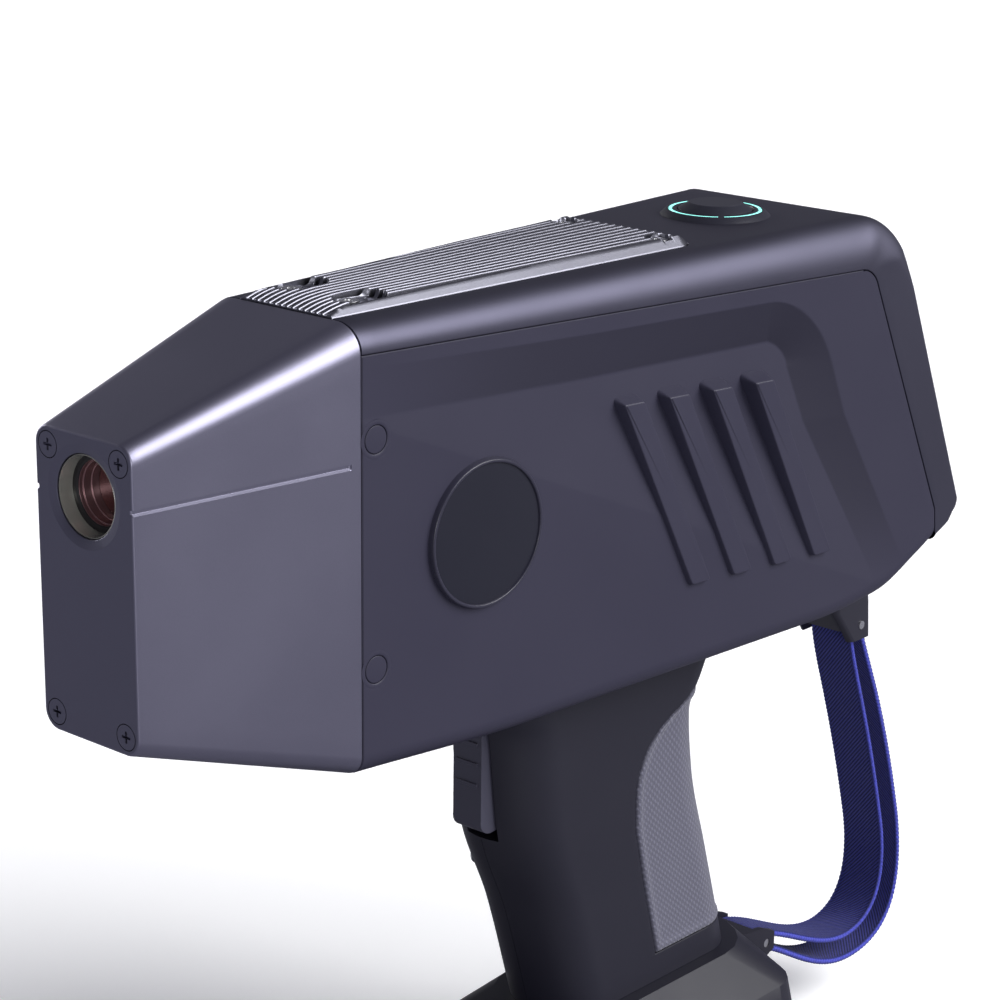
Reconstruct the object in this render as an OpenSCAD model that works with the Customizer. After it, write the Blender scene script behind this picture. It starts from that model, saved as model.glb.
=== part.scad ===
// Handheld X-ray fluorescence analyzer, pistol form, standing on its battery foot.
// Millimetres. +Z up, the measuring nose looks along -Y, the display along +Y.
// Origin: centre of the underside of the battery foot.
// The long housing widens from the nose to the rear; a raked grip with a soft
// back pad hangs below it and takes a stick battery whose foot is the stand.

/* [Body] */
// Height of the flat top above the ground
top_z = 240; // [225:1:255]
// Height of the flat underside above the ground
belly_z = 136; // [128:1:142]
// Length from the measuring face to the rear lower corner
body_len = 274; // [262:1:290]
// Width of the body where the nose joins it
seam_w = 45.7; // [42:0.1:52]
// Width of the body at the rear
rear_w = 73; // [66:0.5:84]
// Wall thickness of the body mouldings
wall = 2.4; // [1.8:0.1:3]
// Rake of the rear display face from upright
rear_rake = 22.7; // [16:0.1:28]

/* [Nose] */
// Distance of the body seam from the measuring face
nose_len = 57; // [50:0.5:64]
// Width of the measuring face
nose_w = 29.7; // [27:0.1:34]
// Height of the measuring face
nose_h = 66.2; // [60:0.1:70]
// Height of the lower edge of the measuring face
nose_z = 157; // [150:0.5:162]
// Corner radius of the measuring face
nose_r = 4.1; // [3:0.1:5]
// Thickness of the face plate
plate_t = 3; // [2.4:0.1:4]
// Radius of the measuring aperture
aper_r = 9; // [7:0.1:10]
// Height of the aperture centre above the plate edge
aper_h = 53.1; // [48:0.1:55]
// Distance between the two screw columns of the plate
plate_sx = 21.8; // [19:0.1:23]
// Inset of the screw rows from the plate edges
plate_sz = 4; // [3.6:0.1:5]
// Height of the side groove of the nose
groove_h = 1.3; // [0.8:0.1:2]

/* [Side panels] */
// Distance of the upper panel seam below the top, at the nose
seam_drop_a = 6.6; // [5:0.1:9]
// Distance of the upper panel seam below the top, at the rear
seam_drop_b = 12.1; // [9:0.1:15]
// Width of the seam between mouldings
gap = 0.3; // [0.2:0.05:0.4]
// Depth of the side recess at its deepest corner
recess_d = 3.6; // [2:0.1:4.2]
// Distance between the raised ribs
rib_pitch = 15.6; // [14:0.1:17]
// Width of a rib face
rib_w = 6.8; // [5:0.1:8]
// Lean of the ribs from upright
rib_lean = 27.3; // [20:0.1:32]
// Height of a rib face
rib_h = 49.7; // [40:0.1:52]
// Height of the ribs above the panel surface
rib_out = 1.2; // [0.6:0.1:1.8]
// Radius of the round badge
badge_r = 17.4; // [15:0.1:19]
// Height of the badge above the panel
badge_t = 1.4; // [1:0.1:2]

/* [Heat sink] */
// Width of the heat sink at the nose end
sink_wa = 27.7; // [25:0.1:30]
// Width of the heat sink at the rear
sink_wb = 39.3; // [36:0.1:44]
// Length of the heat sink
sink_len = 117; // [105:1:122]
// Height of the fins above the top
sink_h = 2.4; // [1.8:0.1:3]
// Number of gaps between fins
sink_gaps = 14; // [10:1:16]

/* [Power button] */
// Distance of the button from the measuring face
pb_y = 208; // [204:0.5:212]
// Radius of the button bezel
pb_r = 14; // [12.8:0.1:15]
// Radius of the moving cap
pb_cap_r = 9.4; // [8:0.1:9.8]
// Travel of the cap
pb_travel = 0.8; // [0.5:0.1:1]

/* [Grip] */
// Thickness of the grip
grip_w = 30; // [28:0.5:34]
// Rake of the grip and battery from upright
grip_rake = 16; // [15:0.5:17]
// Height of the collar top above the ground
collar_z = 44; // [42:1:48]
// Width of the trigger
trig_w = 9.2; // [8:0.1:11]
// Pull angle of the trigger
trig_pull = 7; // [5:0.5:8]

/* [Battery] */
// Length of the foot
foot_l = 110; // [100:1:118]
// Width of the foot
foot_w = 58; // [52:1:66]
// Height of the foot
foot_h = 25; // [22:0.5:26]
// Outer size of the battery stick across the grip
stick_w = 21; // [20:0.1:21.4]
// Outer size of the battery stick along the grip section
stick_l = 40; // [36:0.5:42]
// Running clearance of the battery stick in its well
stick_fit = 0.35; // [0.3:0.05:0.5]
// Travel of a latch button
latch_travel = 2; // [1:0.1:2.4]

/* [Strap] */
// Width of the webbing
strap_w = 13.5; // [12:0.5:15]
// Thickness of the webbing
strap_t = 1.5; // [1.2:0.1:1.8]

/* [Hidden] */
$fn = 48;
e = 0.01;
// foot centre behind the measuring face
foot_y = 167;
hn = nose_w / 2;
hs = seam_w / 2;
hr = rear_w / 2;
side_a = atan((hr - hs) / (body_len - 2 - nose_len));
nose_a = atan((hs - hn) / nose_len);
aper_z = nose_z + aper_h;
// underside height at the nose seam
nose_back = 138.3 + belly_z - 136;
seam_za = top_z - seam_drop_a;
seam_zb = top_z - seam_drop_b;
rear_low = [body_len - 0.4, belly_z + 23];
rear_top = [body_len - 0.4 - (top_z - 14 - belly_z - 23) * tan(rear_rake), top_z - 14];
rear_mid = (rear_low + rear_top) / 2;
// rim width from the panel edge to the rear face
panel_back = 13.3;
rake_v = [0, sin(grip_rake), -cos(grip_rake)];
// grip axis at the height of the belly
well_y = 157.5;
trig_pin = [124, 131.6];
// front edge line of the strap lug
lug_y = body_len - 10.6;
lug_pin = [lug_y + 7.2, belly_z - 19.6];
// the underside is flat to here
belly_end = body_len - 59;
frame_end = body_len - 34;
ceiling = top_z + 60;
low_pin = [231, 33];
// 1.4 mm of case round each cell
cell_r = stick_w / 2 - 1.4;
badge_u = 36.8;
wheel_z = aper_z + 6.4;
plug_at = [[4.1, 214.5], [4.1, 162.6]];

// Half width of the body at y
function hw(y) = hs + (hr - hs) * (y - nose_len) / (body_len - 2 - nose_len);
function arc(cx, cy, rx, ry, a, b, n = 6) = [for (i = [0:n])
    [cx + rx * cos(a + (b - a) * i / n), cy + ry * sin(a + (b - a) * i / n)]];
// Body section: half width h, bottom b, top t, shoulder sx by sz, lower radius r
function sect(h, b, t, sx, sz, r) = concat( arc(h - r, b + r, r, r, -90, 0, 5),
    arc(h - sx, t - sz, sx, sz, 0, 90, 7), arc(-h + sx, t - sz, sx, sz, 90, 180, 7),
    arc(-h + r, b + r, r, r, 180, 270, 5));
// Grip section: front a, back b, half thickness h, rounded ends
function gsect(a, b, h, f = 0.98) = concat( arc(0, a + h * f, h, h * f, 180, 360, 10),
    arc(0, b - h * f, h, h * f, 0, 180, 10));
function rpoly(w, l, r) = concat(arc(w - r, l - r, r, r, 0, 90, 4),
    arc(-w + r, l - r, r, r, 90, 180, 4), arc(-w + r, -l + r, r, r, 180, 270, 4),
    arc(w - r, -l + r, r, r, 270, 360, 4));
function bez(a, b, c, d, n = 12) = [for (i = [0:n]) let (t = i / n, s = 1 - t) a * s * s * s +
    3 * b * s * s * t + 3 * c * s * t * t + d * t * t * t];
function unit(v) = v / norm(v);

module st() { translate([0, -foot_y, 0]) children(); }
module both() { children(); mirror([1, 0, 0]) children(); }
module slab(y, t = e) {
    translate([0, y, 0]) rotate([90, 0, 0]) translate([0, 0, -t / 2]) linear_extrude(t) children();
}
module prof(h) { rotate([90, 0, 90]) translate([0, 0, -h]) linear_extrude(2 * h) children(); }
module sprof(x0, x1) {
    translate([x0, 0, 0]) rotate([90, 0, 90]) linear_extrude(x1 - x0) children();
}
module along_x(x0, x1, y, z, r) {
    translate([x0, y, z]) rotate([0, 90, 0]) cylinder(r = r, h = x1 - x0);
}
module along_y(y0, y1, x, z, r, r2 = -1) {
    translate([x, y0, z]) rotate([-90, 0, 0]) cylinder(r1 = r, r2 = r2 < 0 ? r : r2, h = y1 - y0);
}
module box(x0, x1, y0, y1, z0, z1) { translate([x0, y0, z0]) cube([x1 - x0, y1 - y0, z1 - z0]); }
// Side face frame: x along the side to the rear, y up, z outwards
module on_side() {
    translate([hs, nose_len, 0]) rotate([0, 0, -side_a]) rotate([90, 0, 90]) children();
}
// Rear face frame: y down the face, z outwards
module on_rear() {
    translate([0, rear_mid[0], rear_mid[1]]) rotate([-90 + rear_rake, 0, 0]) children();
}
// Grip axis frame: z up the raked axis
module on_rake() { translate([0, well_y, belly_z]) rotate([grip_rake, 0, 0]) children(); }

module side_profile(d = 0) {
    offset(delta = -d) polygon(concat([[nose_len - 20, nose_back + 2 * d], [nose_len, nose_back],
        [110, belly_z], [belly_end, belly_z]], [[belly_end + 25, belly_z + 2.2],
        [belly_end + 41, belly_z + 8.8], [belly_end + 53, belly_z + 15.5]],
        arc(rear_low[0] - 4.5, rear_low[1] - 0.2, 4.5, 4, -50, 5, 4),
        arc(rear_top[0] - 14, rear_top[1] - 0.6, 14.6, 14.6, rear_rake, 90, 9),
        [[nose_len - 20, top_z]]));
}
module body_hull(d = 0) {
    hull() {
        for (q = [[nose_len - 1, nose_back], [110, belly_z], [belly_end, belly_z],
            [belly_end + 25, belly_z + 2.2], [belly_end + 41, belly_z + 8.8],
            [belly_end + 53, belly_z + 15.5], [body_len + 2, rear_low[1] - 3]]) slab(q[0])
            polygon(sect(hs + (hr - hs) * (q[0] - nose_len) / (body_len - 2 - nose_len) - d, q[1] +
            d, top_z - d, 7.3 + 1.7 * (q[0] - nose_len) / 215 - d / 2, seam_drop_a + 6 *
            (q[0] - nose_len) / 215 - d / 2, 5 - d / 2));
    }
}
module body_solid() { intersection() { body_hull(); prof(60) side_profile(); } }
module body_cavity() { intersection() { body_hull(wall); prof(60) side_profile(wall); } }
// Region of the side panels in side view
module panel_region(d = 0) {
    offset(delta = d) polygon(concat([[nose_len - 10, belly_z - 20],
        [nose_len - 10, seam_za + 0.3]], arc(rear_top[0] - panel_back - 7, seam_zb - 7, 7.6, 7, 82,
        22, 5), [[rear_low[0] - panel_back + 1.6, rear_low[1] - 1],
        [rear_low[0] - panel_back + 6, belly_z - 20]]));
}
module nose_loft(d = 0, y0 = 0) {
    hull() {
        slab(y0 + e / 2) polygon(sect(hn + y0 * tan(nose_a) - d, nose_z + d - (nose_z - nose_back)
            * y0 / nose_len, nose_z + nose_h - d + (top_z - nose_z - nose_h) * y0 / nose_len,
            nose_r, nose_r, nose_r));
        slab(nose_len - e / 2) polygon(sect(hs - d, nose_back + d, top_z - d, 7.3 - d / 2,
            seam_drop_a - d / 2, 5 - d / 2));
    }
}
module plate_holes(r) {
    for (x = [-1, 1], z = [plate_sz, nose_h - plate_sz])
        translate([x * plate_sx / 2, 0, nose_z + z]) rotate([-90, 0, 0])
        cylinder(r = r, h = 30, $fn = 32);
}

module nose_housing() {
    color("slategray") difference() {
        union() {
            difference() {
                intersection() {
                    nose_loft();
                    box(-40, 40, plate_t, nose_len - gap / 2, 100, ceiling);
                }
                nose_loft(wall, plate_t);
            }
            intersection() {
                nose_loft(0.6);
                for (x = [-1, 1], z = [plate_sz, nose_h - plate_sz])
                    along_y(plate_t, plate_t + 9.9, x * plate_sx / 2, nose_z + z, 3.3);
            }
            for (x = [-1, 1]) box(min(x * 11.4, x * 14.9), max(x * 11.4, x * 14.9), 12, 40, 185, 187.9);
        }
        translate([0, plate_t - 1, 0]) plate_holes(1.25);
        both() translate([hn, 0, nose_z + 52.6]) rotate([0, 0, -nose_a]) {
            translate([-0.8, -1, -groove_h / 2]) cube([3, 55.3, groove_h]);
            translate([-0.8, 54.3, 0]) rotate([0, 90, 0]) cylinder(r = groove_h / 2, h = 3, $fn = 20);
        }
    }
}
module nose_plate() {
    color("dimgray") difference() {
        intersection() { nose_loft(); box(-40, 40, 0, plate_t - 0.05, 100, ceiling); }
        along_y(-1, plate_t + 1, 0, aper_z, aper_r);
        along_y(-e, 0.5, 0, aper_z, aper_r + 2.1, aper_r + 0.2);
        translate([0, -1, 0]) plate_holes(1.6);
        for (x = [-1, 1], z = [plate_sz, nose_h - plate_sz])
            along_y(-0.02, 1.75, x * plate_sx / 2, nose_z + z, 2.95, 1.6);
        both() translate([hn, 0, nose_z + 52.6]) rotate([0, 0, -nose_a])
            translate([-0.8, -1, -groove_h / 2]) cube([3, 12, groove_h]);
    }
}
module plate_screws() {
    color("dimgray") for (x = [-1, 1], z = [plate_sz, nose_h - plate_sz])
        translate([x * plate_sx / 2, 0, nose_z + z]) rotate([-90, 0, 0]) difference() {
        union() {
            translate([0, 0, 0.12]) cylinder(r1 = 2.75, r2 = 1.45, h = 1.5, $fn = 32);
            cylinder(r = 2.75, h = 0.13, $fn = 32);
            cylinder(r = 1.2, h = 10, $fn = 24);
        }
        for (a = [0, 90]) rotate([0, 0, a]) translate([-1.3, -0.3, -0.1]) cube([2.6, 0.6, 1]);
    }
}
module window_bezel() {
    color("silver") translate([0, 0, aper_z]) rotate([-90, 0, 0]) rotate_extrude()
        polygon([[aper_r - 0.35, 0.7], [aper_r - 0.15, 0.9], [aper_r - 0.15, plate_t + 0.02],
        [aper_r + 1.3, plate_t + 0.02], [aper_r + 1.3, plate_t + 1.6], [aper_r - 2, plate_t + 1.6],
        [aper_r - 2, plate_t + 0.9], [aper_r - 0.9, plate_t - 0.4]]);
}
module window_baffle() {
    color("black") translate([0, 0, aper_z]) rotate([-90, 0, 0]) rotate_extrude()
        polygon([[aper_r - 2, plate_t + 1.62], [aper_r + 1.3, plate_t + 1.62], [aper_r + 1.3, 13],
        [5.4, 13], [5.4, 10.4], [6.4, 10.4], [6.4, 7.6], [aper_r - 2.3, 7.6], [aper_r - 2.3, 5.6],
        [aper_r - 2, 5.6]]);
}
module window_glass() { color("darkred") along_y(9.2, 10.38, 0, aper_z, 6.35); }

module sink_foot(d = 0) {
    offset(delta = d) polygon(concat([[-sink_wa / 2, nose_len + gap],
        [sink_wa / 2, nose_len + gap]], arc(sink_wb / 2 - 4, nose_len + sink_len - 4, 4, 4, 0, 90,
        5), arc(-sink_wb / 2 + 4, nose_len + sink_len - 4, 4, 4, 90, 180, 5)));
}
module top_cover() {
    color("dimgray") difference() {
        union() {
            difference() { body_solid(); body_cavity(); }
            intersection() {
                body_solid();
                for (y = [100, 160, 226]) both() box(0, 26, y, y + 1.6, top_z - 5, top_z - 1);
            }
        }
        prof(60) panel_region(gap / 2);
        box(-60, 60, -10, nose_len, 0, ceiling);
        translate([0, 0, top_z - 1.6]) linear_extrude(5) sink_foot(0.3);
        box(-10.5, 10.5, nose_len + 20, nose_len + 92, top_z - 8, top_z + 1);
        for (x = [-1, 1]) {
            translate([x * 8.8, nose_len + 10.5, top_z - 8]) cylinder(r = 1, h = 8, $fn = 24);
            translate([x * 14.6, nose_len + sink_len - 7.5, top_z - 8])
                cylinder(r = 1, h = 8, $fn = 24);
        }
        translate([0, pb_y, top_z - 5]) cylinder(r = 4.2, h = 8);
        on_rear() translate([0, 0, -12]) linear_extrude(20) polygon(rpoly(29, 30.6, 5));
        box(-8.1, 8.1, lug_y - 7.5, lug_y + 7.6, belly_z - 5, belly_z + 18);
    }
}
module recess() {
    on_side() hull() {
        translate([0, 0, 0.05]) linear_extrude(1) polygon(concat([[0, 230.5], [127, 225.4]],
            arc(140, 211.6, 15, 13.6, 75, 10, 5), [[196, 146], [150, 131], [70, 190]]));
        multmatrix([[1, 0, 0, 0], [0, 1, 0, 0], [-0.0312, -0.0738, 1, 19.76 - recess_d],
            [0, 0, 0, 1]]) linear_extrude(e) polygon(concat([[0, 219], [124, 214.6]],
            arc(132.5, 207.6, 8, 6.6, 75, 10, 4), [[170.6, 152], [150, 141], [60, 196]]));
    }
}
module rib(i) {
    k = rib_h * tan(rib_lean);
    p = [[-2.4, -1.6, -4], [-0.5, 2.3, -4], [rib_w + 0.7, 1.9, -4], [rib_w + 1.4, -0.9, -4],
        [rib_w + 1 + k, -rib_h - 0.5, -4], [k - 0.8, -rib_h - 1.1, -4], [0, 0, rib_out],
        [0.3, 0.2, rib_out], [rib_w, -0.2, rib_out], [rib_w + 0.1, -0.5, rib_out],
        [rib_w + k, -rib_h, rib_out], [k + 0.2, -rib_h + 0.2, rib_out]];
    on_side() translate([80.8 + i * rib_pitch, nose_z + 51.6 - 0.9 * i, 0])
        polyhedron(p, concat([[5, 4, 3, 2, 1, 0], [6, 7, 8, 9, 10, 11]],
        [for (j = [0:5]) let (n = (j + 1) % 6) [n, n + 6, j], for (j = [0:5]) let (n = (j + 1) % 6)
        [n + 6, j + 6, j]]));
}
module shell() {
    difference() {
        union() {
            difference() {
                union() {
                    difference() { body_solid(); body_cavity(); }
                    intersection() {
                        body_hull(1.2);
                        on_side() {
                            translate([26, 146, -6.4]) cube([168, 84, 6.4]);
                            for (p = plug_at) translate([p[0], p[1], -14]) cylinder(r = 4.6, h = 13);
                        }
                    }
                    box(14, 23.6, nose_len + 14, nose_len + 22, 185, 187.95);
                    box(20, 28, nose_len + 118, nose_len + 126, 185, 187.95);
                    box(22.6, 30, nose_len + 158, nose_len + 166, 185, 187.95);
                }
                recess();
            }
            intersection() {
                union() for (i = [0:3]) rib(i);
                on_side() translate([60, 140, -3.5]) cube([160, 90, 8]);
            }
        }
        difference() {
            prof(60) polygon([[0, 0], [400, 0], [400, 400], [0, 400]]);
            prof(60) panel_region(-gap / 2);
        }
        box(-60, 60, -10, nose_len + gap / 2, 0, ceiling);
        box(-60, gap / 4, 0, 400, 0, 400);
        on_side() {
            for (p = plug_at) {
                translate([p[0], p[1], -20]) cylinder(r = 1.6, h = 30, $fn = 24);
                translate([p[0], p[1], -4.7]) cylinder(r = 3.2, h = 9);
            }
            translate([badge_u, nose_z + 29.9, -1.2]) cylinder(r = badge_r - 1.5, h = 4);
        }
        box(-6, 6, 118, 136, belly_z - 5, belly_z + 6);
        box(-11.4, 11.4, 142, 181, belly_z - 5, belly_z + 6);
        translate([0, 85, belly_z - 5]) cylinder(r = 5, h = 20);
        box(-8.1, 8.1, lug_y - 7.5, lug_y + 7.6, belly_z - 5, belly_z + 18);
    }
}
module left_shell() { color("darkslategray") shell(); }
module right_shell() { color("darkslategray") mirror([1, 0, 0]) shell(); }
module badge_rims() {
    color("darkslategray") both() on_side() translate([badge_u, nose_z + 29.9, 0]) difference() {
        union() {
            translate([0, 0, 0.02]) cylinder(r1 = badge_r, r2 = badge_r - 0.3, h = badge_t);
            translate([0, 0, -1.18]) cylinder(r = badge_r - 1.6, h = 1.3);
        }
        translate([0, 0, badge_t - 0.4]) cylinder(r = badge_r - 1.3, h = 2);
    }
}
module badge_faces() {
    color("black") both() on_side() translate([badge_u, nose_z + 29.9, badge_t - 0.38])
        cylinder(r = badge_r - 1.4, h = 0.3);
}
module side_plugs() {
    color("darkslategray") both() on_side() for (p = plug_at) translate([p[0], p[1], -2.3])
        cylinder(r = 3.1, h = 2.34);
}
module shell_screws() {
    color("silver") both() on_side() for (p = plug_at) translate([p[0], p[1], 0]) {
        translate([0, 0, -4.6]) cylinder(r = 2.6, h = 2.2, $fn = 24);
        translate([0, 0, -14]) cylinder(r = 1.5, h = 10, $fn = 20);
    }
}

module heat_sink() {
    color("silver") difference() {
        union() {
            difference() {
                translate([0, 0, top_z - 1.6]) linear_extrude(1.6 + sink_h) sink_foot();
                both() translate([sink_wa / 2, nose_len + gap, top_z + 0.1])
                    rotate([0, 0, -atan((sink_wb - sink_wa) / 2 / sink_len)]) rotate([0, -48, 0])
                    translate([0, -5, 0]) cube([6, sink_len + 20, 8]);
                sprof(-60, 60) polygon([[nose_len, top_z + 0.5], [nose_len + 4, top_z + 1.55],
                    [nose_len + 8, top_z + 2.1], [nose_len + 13, top_z + sink_h],
                    [nose_len + 13, top_z + 6], [nose_len - 4, top_z + 6], [nose_len - 4, top_z]]);
                sprof(-60, 60) polygon([[nose_len + sink_len + 1, top_z + 0.3],
                    [nose_len + sink_len - 3.5, top_z + sink_h + 0.01],
                    [nose_len + sink_len + 1, top_z + 6]]);
            }
            box(-10, 10, nose_len + 20.4, nose_len + 91.6, top_z - 6, top_z - 1.5);
        }
        for (i = [0:sink_gaps - 1]) {
            ka = (i + 0.5 - sink_gaps / 2) / (sink_gaps + 1.4);
            kb = ka * 0.97;
            translate([0, 0, top_z + 0.25]) linear_extrude(sink_h + 1)
                polygon([[ka * sink_wa - 0.5, nose_len - 1], [ka * sink_wa + 0.5, nose_len - 1],
                [kb * sink_wb + 0.72, nose_len + sink_len + 2],
                [kb * sink_wb - 0.72, nose_len + sink_len + 2]]);
        }
        for (x = [-1, 1]) {
            translate([x * 8.8, nose_len + 10.5, top_z - 3]) cylinder(r = 1.5, h = 8, $fn = 24);
            translate([x * 8.8, nose_len + 14, top_z + 0.12]) linear_extrude(6)
                polygon(concat(arc(0, -3.5, 3.6, 3.6, 180, 360, 8), arc(0, 2.6, 3.6, 3.6, 0, 180, 8)));
            translate([x * 14.6, nose_len + sink_len - 7.5, top_z - 3])
                cylinder(r = 1.5, h = 8, $fn = 24);
            translate([x * 14.6, nose_len + sink_len - 7.5, top_z + 0.12])
                cylinder(r = 3, h = 8, $fn = 24);
        }
    }
}
module sink_screws() {
    color("gray") for (p = [[-8.8, 10.5], [8.8, 10.5], [-14.6, sink_len - 7.5],
        [14.6, sink_len - 7.5]]) translate([p[0], nose_len + p[1], top_z]) difference() {
        union() {
            translate([0, 0, 0.14]) cylinder(r = 2.3, h = 1.4, $fn = 24);
            translate([0, 0, -6]) cylinder(r = 0.95, h = 6.4, $fn = 16);
        }
        translate([0, 0, 0.9]) cylinder(r = 1.1, h = 2, $fn = 6);
    }
}
module button_bezel() {
    color("black") translate([0, pb_y, top_z]) difference() {
        union() {
            translate([0, 0, 0.02]) cylinder(r1 = pb_r, r2 = pb_r - 1.5, h = 1.5);
            translate([0, 0, -4]) cylinder(r = 4.1, h = 4.2);
        }
        translate([0, 0, -5]) cylinder(r = 2.6, h = 8);
        translate([0, 0, 0.3]) cylinder(r = pb_cap_r + 0.3, h = 3);
        translate([0, 0, -3]) cylinder(r = 3.5, h = 4);
        translate([0, 0, 0.9]) rotate_extrude() polygon([[pb_r - 3.1, 0], [pb_r - 2.1, 0],
            [pb_r - 2.1, 2], [pb_r - 3.1, 2]]);
    }
}
module led_ring() {
    color("aqua") translate([0, pb_y, top_z + 0.92]) rotate_extrude()
        polygon([[pb_r - 3.05, 0], [pb_r - 2.15, 0], [pb_r - 2.15, 0.75], [pb_r - 3.05, 0.75]]);
}
module power_button() {
    color("black") translate([0, pb_y, top_z]) {
        translate([0, 0, 1.2]) cylinder(r = pb_cap_r, h = 0.3);
        translate([0, 0, 1.5]) cylinder(r1 = pb_cap_r, r2 = 6.6, h = 1.7);
        translate([0, 0, -5.4]) cylinder(r = 2.1, h = 7);
    }
}
module button_spring() {
    color("silver") translate([0, pb_y, top_z - 2.98]) difference() {
        cylinder(r = 3.3, h = 3.2, $fn = 24);
        translate([0, 0, -1]) cylinder(r = 2.7, h = 6, $fn = 24);
    }
}
module power_switch() {
    color("darkgreen") translate([0, pb_y, top_z]) {
        box(-9, 9, -7, 7, -9.4, -8.2);
        box(-3, 3, -3, 3, -8.2, -6.4);
        for (x = [-8, 8]) translate([x, 0, -8.2]) cylinder(r = 1.6, h = 5.8, $fn = 20);
    }
}

module rear_bezel() {
    color("black") on_rear() difference() {
        union() {
            translate([0, 0, -3]) linear_extrude(3) polygon(rpoly(28.8, 30.4, 4.8));
            for (x = [-24, 24], y = [-27, 27]) translate([x, y, -6]) cylinder(r = 2, h = 4, $fn = 20);
        }
        translate([0, -6, -1.2]) linear_extrude(4) polygon(rpoly(26.3, 21.3, 2));
        translate([0, -6, -5]) linear_extrude(8) polygon(rpoly(23, 18, 1));
        translate([0, 23, -5]) linear_extrude(8) polygon(rpoly(16.2, 4.6, 1));
        translate([0, 23, -1.5]) linear_extrude(4) polygon(rpoly(18.2, 6.1, 1.2));
        translate([-15.4, 26.6, -2.1]) cube([30.8, 2.75, 3]);
        translate([-18.7, 27.9, -0.95]) rotate([0, 90, 0]) cylinder(r = 0.42, h = 37.4, $fn = 20);
    }
}
module display_glass() {
    color("navy") on_rear() translate([0, -6, -1.18]) linear_extrude(1.1)
        polygon(rpoly(26.1, 21.1, 1.9));
}
module display_module() {
    color("gray") on_rear() {
        translate([-22.5, -23.5, -3.7]) cube([45, 35, 2.48]);
        translate([-21.6, -24.6, -5.2]) cube([43.2, 40, 1.6]);
    }
}
module port_door() {
    color("darkslategray") on_rear() translate([0, 23, 0]) difference() {
        union() {
            translate([0, -0.35, -1.3]) linear_extrude(1.2) polygon(rpoly(17.6, 5.2, 1.4));
            translate([-15, 4.9, -0.95]) rotate([0, 90, 0]) cylinder(r = 0.9, h = 30, $fn = 24);
        }
        translate([-20, 4.9, -0.95]) rotate([0, 90, 0]) cylinder(r = 0.45, h = 40, $fn = 20);
    }
}
module port_pin() {
    color("silver") on_rear() translate([-18.6, 27.9, -0.95]) rotate([0, 90, 0])
        cylinder(r = 0.4, h = 37.2, $fn = 20);
}
module port_board() {
    color("darkgreen") on_rear() {
        translate([-20, 18.1, -7.4]) cube([40, 11, 1.4]);
        translate([-13, 20, -6]) cube([9, 6, 4.2]);
        translate([3, 20.4, -6]) cube([9, 5, 4.2]);
    }
}

module grip_core() {
    for (s = [[[108, 206, 137, 15], [117.5, 199, 125, 15]],
        [[117.5, 199, 125, 15], [118.8, 194, 115, 15]],
        [[118.8, 194, 115, 15], [121, 195.6, 99, 15]],
        [[121, 195.6, 99, 15], [131, 203, 74, 14.4]],
        [[131, 203, 74, 14.4], [140.5, 212, collar_z, 14.4]]]) hull() for (q = s)
        translate([0, 0, q[2] - (q[2] == collar_z ? 0 : e / 2)]) linear_extrude(e)
        polygon(gsect(q[0], q[1], q[3] * grip_w / 30));
}
module pad_region(d = 0) {
    offset(delta = d) polygon(concat(bez([186.5, 121], [175, 116.5], [164.2, 113], [163.8, 98], 8),
        bez([164.2, 90], [167, 80], [171, 64], [174.5, 52], 6), [[230, 52], [230, 121]]));
}
module well_outer(d = 0) {
    on_rake() translate([0, 0, -105]) linear_extrude(98) offset(delta = d)
        polygon(rpoly(stick_w / 2 + stick_fit + 1.6, stick_l / 2 + stick_fit + 1.6, 5));
}
module grip_half() {
    difference() {
        grip_core();
        box(-40, gap / 4, 0, 300, 0, 300);
        box(-40, 40, 0, 300, belly_z - 0.05, 300);
        well_outer(0.05);
        prof(60) pad_region(gap);
        box(-trig_w / 2 - 0.5, trig_w / 2 + 0.5, 100, 137.5, 97, 140);
        box(-9, 9, 137, 176, 120, 140);
        for (p = [[132.6, 126], [188.4, 127.6], [137, 84]]) { along_x(-30, 30, p[0], p[1], 1.3); }
        along_x(-8, 8, trig_pin[0], trig_pin[1], 1.22);
        box(-8, 8, 128, 140, 103, 120.2);
    }
}
module grip_left() { color("dimgray") grip_half(); }
module grip_right() {
    color("dimgray") difference() {
        mirror([1, 0, 0]) grip_half();
        for (p = [[132.6, 126], [188.4, 127.6], [137, 84]]) along_x(-20, -11.8, p[0], p[1], 2.7);
    }
}
module grip_pad() {
    color("lightslategray") difference() {
        intersection() { grip_core(); prof(60) pad_region(0); }
        well_outer(0.05);
    }
}
module grip_screws() {
    color("silver") for (p = [[132.6, 126], [188.4, 127.6], [137, 84]]) difference() {
        union() { along_x(-13.6, -11.82, p[0], p[1], 2.4); along_x(-12, 9, p[0], p[1], 1.2); }
        translate([-14, p[0], p[1]]) rotate([0, 90, 0]) cylinder(r = 1.1, h = 1.4, $fn = 6);
    }
}
module battery_well() {
    color("gray") difference() {
        well_outer();
        on_rake() translate([0, 0, -106]) linear_extrude(95.5)
            polygon(rpoly(stick_w / 2 + stick_fit, stick_l / 2 + stick_fit, 4));
        on_rake() translate([-8.6, -14.6, -20]) cube([17.2, 29.2, 20]);
    }
}
module collar_poly(d = 0) {
    offset(delta = d) polygon(concat(arc(17, 120, 12, 12, 270, 360, 5),
        arc(17, 212, 12, 12, 0, 90, 5), arc(-17, 212, 12, 12, 90, 180, 5),
        arc(-17, 120, 12, 12, 180, 270, 5)));
}
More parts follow.
